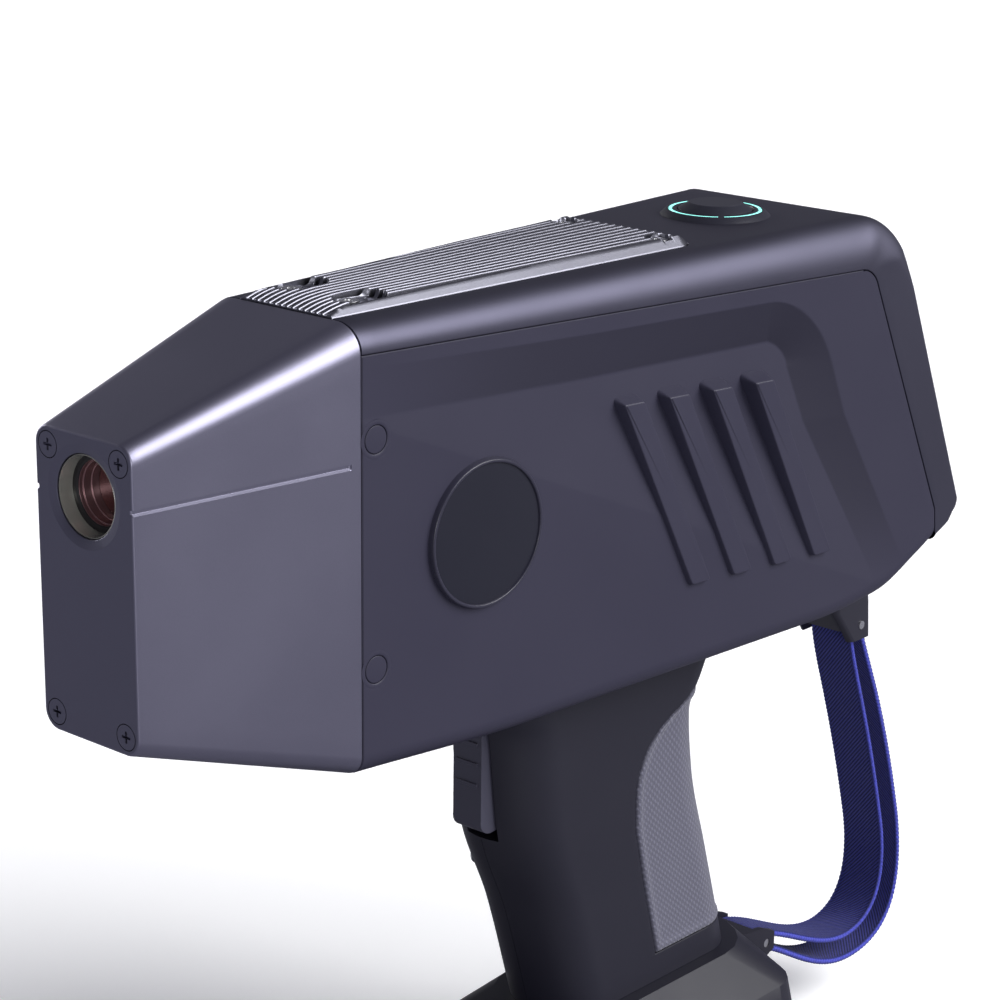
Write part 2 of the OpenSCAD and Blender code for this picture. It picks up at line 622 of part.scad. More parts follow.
module grip_collar() {
    color("dimgray") difference() {
        union() {
            hull() {
                translate([0, 0, foot_h + 0.4]) linear_extrude(e) collar_poly(0);
                translate([0, 0, foot_h + 8]) linear_extrude(e) collar_poly(-1.5);
                translate([0, 0, collar_z - 0.1]) linear_extrude(e) polygon(gsect(136, 217, 18));
            }
            sprof(-9, 9) polygon([[214, 27], [222, 27], [230, 28.6], [234.5, 30.4], [234.5, 35.6],
                [229, 38], [214, 40]]);
        }
        on_rake() translate([0, 0, -130]) linear_extrude(80)
            polygon(rpoly(stick_w / 2 + stick_fit + 1.65, stick_l / 2 + stick_fit + 1.65, 5));
        box(-7.2, 7.2, 226.4, 240, 20, 50);
        along_x(-10, 10, low_pin[0], low_pin[1], 1.22);
    }
}

module trigger() {
    color("dimgray") difference() {
        union() {
            sprof(-trig_w / 2, trig_w / 2) polygon(concat([[118.4, 133.4], [116.4, 128],
                [116.3, 104]], arc(119.8, 103.6, 3.6, 3.6, 180, 270, 5),
                [[122.4, 100.2], [123.6, 104], [124, 113], [125.6, 127], [127, 131]],
                arc(trig_pin[0], trig_pin[1], 3, 3, 0, 120, 6)));
            for (z = [123.6, 118.4, 113]) box(-3.4, 3.4, 115.9, 117, z - 0.45, z + 0.45);
            sprof(-3, 3) polygon([[123, 110], [129.8, 110.6], [129.8, 113.4], [123, 115]]);
        }
        along_x(-10, 10, trig_pin[0], trig_pin[1], 1.28);
    }
}
module trigger_pin() { color("silver") along_x(-7.9, 7.9, trig_pin[0], trig_pin[1], 1.2); }
module trigger_spring() {
    color("silver") translate([0, 127.6, 105.2]) rotate([-90, 0, 0]) difference() {
        cylinder(r = 2, h = 12.3, $fn = 24);
        translate([0, 0, -1]) cylinder(r = 1.4, h = 14, $fn = 24);
    }
}
module trigger_switch() {
    color("black") {
        box(-3.4, 3.4, 134, 139, 108.4, 119.6);
        box(-1.4, 1.4, 132.6, 134.1, 110.9, 113.1);
    }
}

module strap_lug() {
    color("black") difference() {
        union() {
            hull() {
                translate([0, lug_y, belly_z + 17.9]) linear_extrude(e) polygon(rpoly(8, 7.4, 2));
                translate([0, lug_y + 4, belly_z - 14]) linear_extrude(e) polygon(rpoly(8, 8.8, 2.4));
            }
            hull() {
                translate([0, lug_y + 4, belly_z - 14]) linear_extrude(e) polygon(rpoly(8, 8.8, 2.4));
                translate([0, lug_y + 6.8, belly_z - 23.6]) linear_extrude(e) polygon(rpoly(9, 5, 2));
            }
        }
        box(-7.2, 7.2, lug_y - 0.6, lug_y + 16.6, belly_z - 36, belly_z - 15.4);
        along_x(-10, 10, lug_pin[0], lug_pin[1], 1.22);
    }
}
module strap_pin() { color("silver") along_x(-8.8, 8.8, lug_pin[0], lug_pin[1], 1.2); }
module collar_pin() { color("silver") along_x(-8.8, 8.8, low_pin[0], low_pin[1], 1.2); }
// Centre line of the webbing loop: over the upper pin, down the hand side, round the
// lower pin and back up the outer side
function strap_line() = let (r = 1.25 + strap_t / 2)
    concat( arc(lug_pin[0], lug_pin[1], r, r, 16, 185, 8),
    tail(bez(lug_pin + r * [cos(185), sin(185)], lug_pin + [-1.0, -12], [lug_y + 14.6, 92],
    [lug_y + 25.8, 50], 9)), tail(bez([lug_y + 25.8, 50], [lug_y + 29.6, 34], [lug_y + 26.6, 21.6],
    [lug_y + 12.6, 20], 7)), tail(bez([lug_y + 12.6, 20], [lug_y - 1.4, 18.4], [246, 31.2], low_pin
    + r * [cos(76), sin(76)], 6)), tail(arc(low_pin[0], low_pin[1], r, r, 76, 256, 8)),
    tail(bez(low_pin + r * [cos(256), sin(256)], [243, 28], [lug_y - 5.4, 12.7],
    [lug_y + 12.6, 12.6], 7)), tail(bez([lug_y + 12.6, 12.6], [lug_y + 34.6, 12.5],
    [lug_y + 38.6, 28], [lug_y + 33.8, 50], 8)),
    tail(bez([lug_y + 33.8, 50], [lug_y + 22.6, 92], lug_pin + [5.5, -12], lug_pin +
    r * [cos(16), sin(16)], 9), 1));
function tail(p, last = 0) = [for (i = [1:len(p) - 1 - last]) p[i]];
function loop_offset(p, d) = let (n = len(p)) [for (i = [0:n - 1])
    let (q = unit(p[(i + 1) % n] - p[(i + n - 1) % n])) p[i] + d * [q[1], -q[0]]];
module hand_strap() {
    color("midnightblue") sprof(-strap_w / 2, strap_w / 2) difference() {
        polygon(loop_offset(strap_line(), strap_t / 2));
        polygon(loop_offset(strap_line(), -strap_t / 2));
    }
}

module battery_case() {
    color("dimgray") difference() {
        union() {
            hull() {
                translate([0, foot_y, 0.8]) linear_extrude(e)
                    polygon(rpoly(foot_w / 2 - 1, foot_l / 2 - 1, 13));
                translate([0, foot_y, 3]) linear_extrude(e) polygon(rpoly(foot_w / 2, foot_l / 2, 14));
                translate([0, foot_y, foot_h - 3]) linear_extrude(e)
                    polygon(rpoly(foot_w / 2, foot_l / 2, 14));
                translate([0, foot_y, foot_h]) linear_extrude(e)
                    polygon(rpoly(foot_w / 2 - 1.4, foot_l / 2 - 1.4, 12.6));
            }
            intersection() {
                on_rake() translate([0, 0, -126]) linear_extrude(112)
                    polygon(rpoly(stick_w / 2, stick_l / 2, 3.6));
                box(-30, 30, 100, 240, foot_h - 1, 200);
            }
        }
        on_rake() translate([0, 0, -108.2]) linear_extrude(92)
            polygon(rpoly(stick_w / 2 - 1.1, stick_l / 2 - 1.1, 2.6));
        box(-foot_w / 2 + 4, foot_w / 2 - 4, foot_y - foot_l / 2 + 5, 154.8, 3.4, foot_h - 2.6);
        box(-foot_w / 2 + 4, foot_w / 2 - 4, 182, foot_y + foot_l / 2 - 5, 3.4, foot_h - 2.6);
        both() { box(18, 27.5, 159, 175, 7, 21); box(20, 40, 160, 174, 8, 20); }
    }
}
module battery_cells() {
    color("royalblue") {
        for (y = [-1, 1] * (cell_r + 0.2)) on_rake() translate([0, y, -108])
            cylinder(r = cell_r, h = 68);
        for (y = [126.6, 126.6 + 2 * cell_r + 0.5]) translate([-23, y, 4 + cell_r])
            rotate([0, 90, 0]) cylinder(r = cell_r - 0.1, h = 46);
    }
}
module battery_contacts() {
    color("gold") on_rake() {
        translate([-8, -14, -13.98]) cube([16, 28, 1.2]);
        for (y = [-9, -3, 3, 9]) translate([-0.8, y - 1.2, -12.9]) cube([1.6, 2.4, 2.6]);
    }
}
module battery_socket() {
    color("black") on_rake() difference() {
        translate([-8.5, -14.5, -10.2]) cube([17, 29, 2.9]);
        for (y = [-9, -3, 3, 9]) translate([-1, y - 1.4, -11]) cube([2, 2.8, 1.2]);
    }
}
module foot_sole() {
    color("black") translate([0, foot_y, 0]) linear_extrude(0.78)
        polygon(rpoly(foot_w / 2 - 4, foot_l / 2 - 4, 10));
}
module latch() {
    difference() {
        union() {
            box(24.5, foot_w / 2 + 0.9, 160.4, 173.6, 8.4, 19.6);
            box(25, 27.4, 159.2, 174.8, 7.3, 20.7);
            box(21, 25, 163, 171, 10, 18);
        }
        translate([20, 167, 14]) rotate([0, 90, 0]) cylinder(r = 3.1, h = 3.4);
    }
}
module latch_left() { color("black") latch(); }
module latch_right() { color("black") mirror([1, 0, 0]) latch(); }
module latch_springs() {
    color("silver") both() translate([18.02, 167, 14]) rotate([0, 90, 0]) difference() {
        cylinder(r = 2.8, h = 3.2, $fn = 24);
        translate([0, 0, -1]) cylinder(r = 2.1, h = 9, $fn = 24);
    }
}

module chassis() {
    color("silver") difference() {
        union() {
            translate([0, 0, 188]) linear_extrude(3)
                polygon([[-13.2, 14], [13.2, 14], [17, nose_len],
                [hw(nose_len + 24) - 7.17, nose_len + 24], [hw(frame_end) - 7.37, frame_end],
                [-hw(frame_end) + 7.37, frame_end], [-hw(nose_len + 24) + 7.17, nose_len + 24],
                [-17, nose_len]]);
            box(-9, 9, 111, 114, belly_z + wall + 0.02, 188.1);
            box(-9, 9, 196, 199, belly_z + wall + 0.02, 188.1);
        }
        for (y = [70, 130, 200]) translate([0, y, 180]) cylinder(r = 2.2, h = 20, $fn = 20);
    }
}
module detector_block() {
    color("gray") difference() {
        box(-11.5, 11.5, 13.05, 30, 191, 224.2);
        along_y(12, 31, 0, aper_z, 5.4);
        along_y(24, 31, -2, 199, 5.7);
    }
}
module xray_tube() {
    color("lightgray") { along_y(24.2, 52, -2, 199, 5.6); along_y(51.9, 92, -2, 199.02, 8); }
}
module detector_can() {
    color("silver") {
        along_y(26, 30.4, 0, aper_z, 5.2);
        box(-6, 6, 30.02, 39.6, aper_z - 5, aper_z + 5);
    }
}
module filter_wheel() {
    color("goldenrod") difference() {
        along_y(40.8, 42, 0, wheel_z, 11);
        for (a = [30:60:330]) along_y(40, 43, 6.4 * cos(a), wheel_z + 6.4 * sin(a), 2.4);
        along_y(40, 43, 0, wheel_z, 1.06);
    }
}
module filter_motor() {
    color("dimgray") {
        along_y(43.2, 60, 0, wheel_z, 6);
        along_y(40.05, 43.3, 0, wheel_z, 1);
        box(-7, 7, 46, 58, 207.04, wheel_z - 3);
    }
}
module high_voltage_pack() {
    color("wheat") difference() { box(-14, 14, 96, 150, 191, 226); along_y(95, 151, -2, 199, 0.5); }
}
module main_board() {
    color("darkgreen") {
        box(-22, 22, 166, 226, 191.02, 192.6);
        box(-9, 9, 172, 190, 192.6, 195.2);
        box(11, 20, 176, 200, 192.6, 197);
        box(-20, -12, 196, 216, 192.6, 199);
        box(-21, 21, 222, 225, 192.6, 204);
    }
}
module heat_spreader() {
    color("chocolate") box(-9.6, 9.6, nose_len + 41, nose_len + 91, 226.02, top_z - 6.02);
}
module tripod_insert() {
    color("goldenrod") translate([0, 85, 0]) difference() {
        union() {
            translate([0, 0, belly_z + 1.4]) cylinder(r = 4.8, h = 9.6);
            translate([0, 0, belly_z + 3.86]) cylinder(r = 7, h = 3);
        }
        translate([0, 0, belly_z]) cylinder(r = 2.6, h = 9);
    }
}

st() nose_housing();
st() nose_plate();
st() plate_screws();
st() window_bezel();
st() window_baffle();
st() window_glass();
st() top_cover();
st() left_shell();
st() right_shell();
st() badge_rims();
st() badge_faces();
st() side_plugs();
st() shell_screws();
st() heat_sink();
st() sink_screws();
st() button_bezel();
st() led_ring();
st() power_button();
st() button_spring();
st() power_switch();
st() rear_bezel();
st() display_glass();
st() display_module();
st() port_door();
st() port_pin();
st() port_board();
st() grip_left();
st() grip_right();
st() grip_pad();
st() grip_screws();
st() battery_well();
st() grip_collar();
st() trigger();
st() trigger_pin();
st() trigger_spring();
st() trigger_switch();
st() strap_lug();
st() strap_pin();
st() hand_strap();
st() collar_pin();
st() battery_case();
st() battery_cells();
st() battery_contacts();
st() foot_sole();
st() latch_left();
st() latch_right();
st() latch_springs();
st() chassis();
st() detector_block();
st() xray_tube();
st() detector_can();
st() filter_wheel();
st() filter_motor();
st() high_voltage_pack();
st() main_board();
st() heat_spreader();
st() battery_socket();
st() tripod_insert();
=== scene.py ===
"""Looks of a handheld X-ray fluorescence analyzer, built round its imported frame.

Every size below is in millimetres measured from the nose: X across the body, Y back from
the measuring face and Z up from the ground. ``to_frame`` turns them into the shared frame's
metres. Each sub-assembly is a class whose fields are its sizes; its methods work out the
surfaces as whole arrays and dress them with a finish.
"""
import logging
import math
from dataclasses import dataclass, field
from enum import Enum
from functools import lru_cache
from typing import Callable, Dict, List, Optional, Sequence, Tuple

import bmesh
import bpy
import numpy as np
from mathutils import Matrix, Vector
from mathutils.geometry import delaunay_2d_cdt


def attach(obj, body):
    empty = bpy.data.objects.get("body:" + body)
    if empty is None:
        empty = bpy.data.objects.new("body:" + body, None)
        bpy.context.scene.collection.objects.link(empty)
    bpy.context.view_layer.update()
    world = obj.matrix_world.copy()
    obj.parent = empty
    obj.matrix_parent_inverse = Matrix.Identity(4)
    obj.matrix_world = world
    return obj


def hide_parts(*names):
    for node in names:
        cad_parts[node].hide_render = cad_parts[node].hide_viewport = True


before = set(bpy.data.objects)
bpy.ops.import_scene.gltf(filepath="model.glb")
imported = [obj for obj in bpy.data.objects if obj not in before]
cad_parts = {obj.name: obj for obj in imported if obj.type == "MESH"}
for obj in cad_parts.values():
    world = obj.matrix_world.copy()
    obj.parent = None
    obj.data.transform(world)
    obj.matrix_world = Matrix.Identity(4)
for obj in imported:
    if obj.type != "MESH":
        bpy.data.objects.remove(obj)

LOG = logging.getLogger("analyzer")
MM = 0.001
FOOT_Y = 167.0
MAIN = "main"
MIRROR = np.array([-1.0, 1.0, 1.0])
Pair = Tuple[float, float]
Point = Tuple[float, float, float]
Line = Tuple[Tuple[float, ...], Tuple[float, ...]]
Colour = Point
Piece = bpy.types.Object
Socket = bpy.types.NodeSocket
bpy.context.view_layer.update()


# ---- geometry helpers

def to_frame(points: np.ndarray) -> np.ndarray:
    """Turns nose-based millimetres, x, y back and z up, into the shared frame's metres."""
    return (np.asarray(points, float) - np.array([0.0, FOOT_Y, 0.0])) * MM


def smooth_step(x: np.ndarray, low: float, high: float) -> np.ndarray:
    """Eases from 0 at low to 1 at high: t squared times (3 - 2t), t being the clipped share."""
    t = np.clip((x - low) / (high - low), 0.0, 1.0)
    return t * t * (3.0 - 2.0 * t)


def fair_curve(x: np.ndarray, xs: Sequence[float], ys: Sequence[float]) -> np.ndarray:
    """Runs a smooth curve through points: cubic Hermite pieces with limited slopes.

    Args:
        x: where the curve is wanted.
        xs: increasing stations.
        ys: the curve's value at each station.

    Returns:
        The value at each x. Slopes are harmonic means of the neighbouring chords, so the
        curve never overshoots its points.
    """
    xs, ys, x = np.asarray(xs, float), np.asarray(ys, float), np.asarray(x, float)
    step, chord = np.diff(xs), np.diff(ys) / np.diff(xs)
    inner = np.where(chord[1:] * chord[:-1] > 0,
                     2 * chord[1:] * chord[:-1] / (chord[1:] + chord[:-1] + 1e-12), 0.0)
    slope = np.concatenate([[chord[0]], inner, [chord[-1]]])
    k = np.clip(np.searchsorted(xs, x) - 1, 0, len(step) - 1)
    t = np.clip((x - xs[k]) / step[k], 0.0, 1.0)
    return ((1 + 2 * t) * (1 - t) ** 2 * ys[k] + t * (1 - t) ** 2 * step[k] * slope[k]
            + t * t * (3 - 2 * t) * ys[k + 1] + t * t * (t - 1) * step[k] * slope[k + 1])


def bezier(a: Pair, b: Pair, c: Pair, d: Pair, steps: int) -> np.ndarray:
    """Runs a cubic Bezier curve between two points.

    Args:
        a: where it starts.
        b: first handle.
        c: second handle.
        d: where it ends.
        steps: points on the curve.

    Returns:
        (steps, 2) points (1-t)^3 A + 3(1-t)^2 t B + 3(1-t) t^2 C + t^3 D, t even from 0 to 1.
    """
    t = np.linspace(0, 1, steps)[:, None]
    a, b, c, d = (np.asarray(p, float) for p in (a, b, c, d))
    return (1 - t) ** 3 * a + 3 * (1 - t) ** 2 * t * b + 3 * (1 - t) * t * t * c + t ** 3 * d


def closed_ring(outline: np.ndarray) -> np.ndarray:
    """The outline with its first point repeated at the end."""
    return np.concatenate([outline, outline[:1]])


def rounded_outline(corners: Sequence[Sequence[float]], radii: Sequence[float], steps: int = 5) -> np.ndarray:
    """Rounds the corners of a closed polygon with quadratic arcs.

    Args:
        corners: polygon corners in order.
        radii: how far each arc reaches along the sides from its corner.
        steps: segments in each arc.

    Returns:
        An (n, 2) closed outline, (steps + 1) points a corner. Each arc is the curve
        (1-t)^2 A + 2t(1-t) C + t^2 B from A to B on the two sides, C being the corner.
    """
    c = np.asarray(corners, float)
    r = np.broadcast_to(np.asarray(radii, float), (len(c),))[:, None]
    before, after = np.roll(c, 1, 0) - c, np.roll(c, -1, 0) - c
    a = c + before / np.linalg.norm(before, axis=1, keepdims=True) * r
    b = c + after / np.linalg.norm(after, axis=1, keepdims=True) * r
    t = np.linspace(0, 1, steps + 1)[None, :, None]
    return ((1 - t) ** 2 * a[:, None] + 2 * t * (1 - t) * c[:, None] + t * t * b[:, None]).reshape(-1, 2)


def shrink(outline: np.ndarray, inset: float) -> np.ndarray:
    """Moves a closed counter-clockwise outline inwards along its own normals.

    Args:
        outline: (n, 2) points.
        inset: how far they move.

    Returns:
        The moved points.
    """
    along = np.roll(outline, -1, 0) - np.roll(outline, 1, 0)
    along /= np.linalg.norm(along, axis=1, keepdims=True) + 1e-12
    return outline + inset * np.stack([-along[:, 1], along[:, 0]], 1)


def eased_edge(radius: float, steps: int = 4) -> np.ndarray:
    """Quarter-round edge as rows of (inset, depth): from (0, radius) to (radius, 0)."""
    a = np.linspace(0, math.pi / 2, steps + 1)
    return np.stack([radius * (1 - np.cos(a)), radius * (1 - np.sin(a))], 1)


@dataclass(frozen=True)
class Axes:
    """A local frame: an origin and three unit directions, in nose-based millimetres."""
    origin: Point
    x: Point = (1.0, 0.0, 0.0)
    y: Point = (0.0, 1.0, 0.0)
    z: Point = (0.0, 0.0, 1.0)

    def place(self, points: np.ndarray) -> np.ndarray:
        """Returns origin + x X + y Y + z Z for local points."""
        p = np.asarray(points, float)
        return np.array(self.origin) + p @ np.array([self.x, self.y, self.z])

    def shifted(self, x: float, y: float) -> "Axes":
        """The same directions from the local point (x, y, 0)."""
        return Axes(tuple(self.place([x, y, 0.0])), self.x, self.y, self.z)

    def mirrored(self) -> "Axes":
        """The same frame seen in the plane X = 0."""
        flip = lambda v: (-v[0], v[1], v[2])
        return Axes(flip(self.origin), flip(self.x), flip(self.y), flip(self.z))


class Skin:
    """Collects grids of points and turns them into one mesh object."""

    def __init__(self, name: str) -> None:
        """Starts an empty skin.

        Args:
            name: the object's name.
        """
        self.name = name
        self.points: List[np.ndarray] = []
        self.faces: List[np.ndarray] = []
        self.uvs: List[np.ndarray] = []
        self.count = 0

    def grid(self, points: np.ndarray, close_rows: bool = False, close_cols: bool = False,
             uv: Optional[np.ndarray] = None) -> "Skin":
        """Adds a (rows, cols, 3) grid of nose-based points as quads.

        Args:
            points: the grid.
            close_rows: joins the last row to the first.
            close_cols: joins the last column to the first.
            uv: (rows, cols, 2) surface coordinates, zero where left out.

        Returns:
            The skin itself.
        """
        rows, cols = points.shape[:2]
        r = np.arange(rows if close_rows else rows - 1)
        c = np.arange(cols if close_cols else cols - 1)
        rr, cc = np.meshgrid(r, c, indexing="ij")
        r2, c2 = (rr + 1) % rows, (cc + 1) % cols
        quads = np.stack([rr * cols + cc, rr * cols + c2, r2 * cols + c2, r2 * cols + cc], -1)
        self.faces.append(quads.reshape(-1, 4) + self.count)
        self.points.append(points.reshape(-1, 3))
        self.uvs.append(np.zeros((rows * cols, 2)) if uv is None else uv.reshape(-1, 2))
        self.count += rows * cols
        return self

    def sheet(self, points: np.ndarray, faces: np.ndarray) -> "Skin":
        """Adds loose points and the faces between them.

        Args:
            points: (n, 3) nose-based points.
            faces: (m, corners) indices into them.

        Returns:
            The skin itself.
        """
        self.faces.append(np.asarray(faces) + self.count)
        self.points.append(points)
        self.uvs.append(np.zeros((len(points), 2)))
        self.count += len(points)
        return self

    def turned(self, profile: np.ndarray, axes: Axes, steps: int = 72,
               span: Pair = (0.0, 360.0)) -> "Skin":
        """Turns a profile of (radius, height) round the axes' z.

        Args:
            profile: (n, 2) rows of radius and height.
            axes: frame whose z is the turning axis.
            steps: columns round the turn.
            span: first and last angle in degrees; a full turn is closed.

        Returns:
            The skin itself. Point (i, j) is (r cos a, r sin a, h).
        """
        full = abs(span[1] - span[0]) >= 360.0
        a = np.radians(np.linspace(span[0], span[1], steps + 1))[:steps if full else None]
        r, h = np.hsplit(np.asarray(profile, float), 2)
        local = np.stack([r * np.cos(a), r * np.sin(a), h + 0 * a], -1)
        return self.grid(axes.place(local), close_cols=full)

    def build(self, sharp_deg: float = 38.0, away_from: Optional[Sequence[float]] = None) -> Piece:
        """Makes the object: welds doubles, sorts out the normals and shades it smooth.

        Args:
            sharp_deg: edges that bend more than this stay crisp.
            away_from: for open skins, a nose-based point that the faces turn away from; a
                closed skin needs none, as its normals can be worked out.

        Returns:
            The linked object, its place held in its mesh.
        """
        mesh = bpy.data.meshes.new(self.name)
        points, faces = np.concatenate(self.points), np.concatenate([f.ravel() for f in self.faces])
        sides = np.concatenate([np.full(len(f), f.shape[1]) for f in self.faces])
        mesh.vertices.add(len(points))
        mesh.vertices.foreach_set("co", to_frame(points).ravel())
        mesh.loops.add(faces.size)
        mesh.loops.foreach_set("vertex_index", faces)
        mesh.polygons.add(len(sides))
        mesh.polygons.foreach_set("loop_start", np.cumsum(sides) - sides)
        mesh.polygons.foreach_set("loop_total", sides)
        layer = mesh.uv_layers.new(name="surface")
        layer.data.foreach_set("uv", np.concatenate(self.uvs)[faces].ravel())
        mesh.update(calc_edges=True)
        work = bmesh.new()
        work.from_mesh(mesh)
        bmesh.ops.remove_doubles(work, verts=work.verts, dist=2e-6)
        bmesh.ops.dissolve_degenerate(work, edges=work.edges, dist=1e-7)
        if away_from is None:
            bmesh.ops.recalc_face_normals(work, faces=work.faces)
        else:
            eye = Vector(to_frame(np.array(away_from)))
            turn = sum(f.normal.dot(f.calc_center_median() - eye) * f.calc_area() for f in work.faces)
            if turn < 0:
                bmesh.ops.reverse_faces(work, faces=work.faces)
        work.to_mesh(mesh)
        work.free()
        return finish_mesh(self.name, mesh, sharp_deg)


def finish_mesh(name: str, mesh: bpy.types.Mesh, sharp_deg: float) -> Piece:
    """Shades a mesh smooth and links it as an object.

    Args:
        name: the object's name.
        mesh: its mesh.
        sharp_deg: edges that bend more than this stay crisp.

    Returns:
        The linked object.
    """
    mesh.polygons.foreach_set("use_smooth", np.ones(len(mesh.polygons), bool))
    mesh.set_sharp_from_angle(angle=math.radians(sharp_deg))
    thing = bpy.data.objects.new(name, mesh)
    bpy.context.scene.collection.objects.link(thing)
    return thing


def eased_copy(node: str, name: str, ease: float, segments: int = 3, limit_deg: float = 30.0) -> Piece:
    """Copies a frame node, merges its loose triangles and breaks its sharp edges.

    Args:
        node: the node that is copied.
        name: the new piece's name.
        ease: width of the broken edges in millimetres.
        segments: rounds of each broken edge.
        limit_deg: edges that bend less are left alone.

    Returns:
        The linked object, already standing for the node.
    """
    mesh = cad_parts[node].data.copy()
    mesh.materials.clear()
    work = bmesh.new()
    work.from_mesh(mesh)
    bmesh.ops.remove_doubles(work, verts=work.verts, dist=4e-6)
    bmesh.ops.dissolve_limit(work, angle_limit=math.radians(0.7), verts=work.verts, edges=work.edges)
    weight = work.edges.layers.float.new("bevel_weight_edge")
    for e in work.edges:
        e[weight] = float(len(e.link_faces) == 2 and e.calc_face_angle(0.0) > math.radians(limit_deg))
    work.to_mesh(mesh)
    work.free()
    piece = finish_mesh(name, mesh, limit_deg + 8)
    edge = piece.modifiers.new("eased", "BEVEL")
    edge.width, edge.segments = ease * MM, segments
    edge.limit_method = "WEIGHT"
    edge.use_clamp_overlap = True
    even = piece.modifiers.new("even_normals", "WEIGHTED_NORMAL")
    even.keep_sharp, even.weight = True, 80
    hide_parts(node)
    return piece


# ---- finishes

class Graph:
    """A material's node tree, with short typed calls for its parts."""

    def __init__(self, name: str) -> None:
        """Makes the material, its shader and its output.

        Args:
            name: the material's name.
        """
        self.material = bpy.data.materials.new(name)
        self.material.use_nodes = True
        self.tree = self.material.node_tree
        self.tree.nodes.clear()
        self.out = self.tree.nodes.new("ShaderNodeOutputMaterial")
        self.shader = self.tree.nodes.new("ShaderNodeBsdfPrincipled")
        self.tree.links.new(self.shader.outputs["BSDF"], self.out.inputs["Surface"])

    def feed(self, target: Socket, value: object) -> None:
        """Links a socket to an input, or sets a plain value on it.

        Args:
            target: the input.
            value: socket or plain value.
        """
        if isinstance(value, bpy.types.NodeSocket):
            self.tree.links.new(value, target)
        else:
            target.default_value = value

    def set(self, **values: object) -> None:
        """Sets or links the shader's inputs.

        Args:
            **values: value or socket by input name, with underscores for spaces.
        """
        for key, value in values.items():
            if isinstance(value, tuple) and len(value) == 3:
                value = (*value, 1.0)
            self.feed(self.shader.inputs[key.replace("_", " ")], value)

    def place(self, scale: Point = (1, 1, 1), surface: bool = False) -> Socket:
        """Gives coordinates through a Mapping node.

        Args:
            scale: the node's scale.
            surface: takes the piece's own surface coordinates, not its object coordinates.

        Returns:
            The coordinates.
        """
        if surface:
            source = self.tree.nodes.new("ShaderNodeUVMap")
            source.uv_map = "surface"
            start = source.outputs["UV"]
        else:
            start = self.tree.nodes.new("ShaderNodeTexCoord").outputs["Object"]
        node = self.tree.nodes.new("ShaderNodeMapping")
        node.inputs["Scale"].default_value = scale
        self.tree.links.new(start, node.inputs["Vector"])
        return node.outputs["Vector"]

    def noise(self, where: Socket, scale: float, detail: float = 3.0, rough: float = 0.55) -> Socket:
        """Adds cloudy noise between 0 and 1.

        Args:
            where: coordinates.
            scale: clouds a unit of them.
            detail: octaves.
            rough: weight of the finer octaves.

        Returns:
            The noise.
        """
        node = self.tree.nodes.new("ShaderNodeTexNoise")
        node.inputs["Scale"].default_value = scale
        node.inputs["Detail"].default_value = detail
        node.inputs["Roughness"].default_value = rough
        self.tree.links.new(where, node.inputs["Vector"])
        return node.outputs["Fac"]

    def cells(self, where: Socket, scale: float, feature: str = "F1", jitter: float = 1.0) -> Socket:
        """Adds a cell pattern.

        Args:
            where: coordinates.
            scale: cells a unit of them.
            feature: which distance is taken.
            jitter: how far the cells stray from a lattice.

        Returns:
            The distance.
        """
        node = self.tree.nodes.new("ShaderNodeTexVoronoi")
        node.feature = feature
        node.inputs["Scale"].default_value = scale
        node.inputs["Randomness"].default_value = jitter
        self.tree.links.new(where, node.inputs["Vector"])
        return node.outputs["Distance"]

    def math(self, kind: str, a: object, b: object = 0.0) -> Socket:
        """Adds one Math node.

        Args:
            kind: its operation.
            a: first value or socket.
            b: second value or socket.

        Returns:
            Its result.
        """
        node = self.tree.nodes.new("ShaderNodeMath")
        node.operation = kind
        self.feed(node.inputs[0], a)
        self.feed(node.inputs[1], b)
        return node.outputs[0]

    def split(self, where: Socket) -> Tuple[Socket, Socket, Socket]:
        """Takes a vector apart.

        Args:
            where: the vector.

        Returns:
            Its x, y and z.
        """
        node = self.tree.nodes.new("ShaderNodeSeparateXYZ")
        self.tree.links.new(where, node.inputs[0])
        return node.outputs[0], node.outputs[1], node.outputs[2]

    def span(self, value: Socket, low: float, high: float, to_low: float, to_high: float) -> Socket:
        """Maps one range to another, clipped.

        Args:
            value: what is mapped.
            low: start of its range.
            high: end of its range.
            to_low: result at low.
            to_high: result at high.

        Returns:
            The mapped value.
        """
        node = self.tree.nodes.new("ShaderNodeMapRange")
        self.feed(node.inputs[0], value)
        for i, v in enumerate((low, high, to_low, to_high)):
            node.inputs[i + 1].default_value = v
        return node.outputs[0]

    def mix(self, share: object, a: object, b: object) -> Socket:
        """Mixes two colours.

        Args:
            share: how much of b is taken.
            a: first colour.
            b: second colour.

        Returns:
            The mixed colour.
        """
        node = self.tree.nodes.new("ShaderNodeMix")
        node.data_type = "RGBA"
        self.feed(node.inputs["Factor"], share)
        self.feed(node.inputs[6], (*a, 1.0) if isinstance(a, tuple) else a)
        self.feed(node.inputs[7], (*b, 1.0) if isinstance(b, tuple) else b)
        return node.outputs[2]

    def bump(self, height: Socket, depth_mm: float, strength: float = 1.0) -> Socket:
        """Bends the normal by a height between 0 and 1.

        Args:
            height: the height.
            depth_mm: what a height of 1 stands for.
            strength: the node's strength.

        Returns:
            The bent normal.
        """
        node = self.tree.nodes.new("ShaderNodeBump")
        node.inputs["Strength"].default_value = strength
        node.inputs["Distance"].default_value = depth_mm * MM
        self.tree.links.new(height, node.inputs["Height"])
        return node.outputs["Normal"]


def tone(colour: Colour, factor: float) -> Colour:
    """A colour made lighter or darker by factor."""
    return tuple(min(1.0, c * factor) for c in colour)


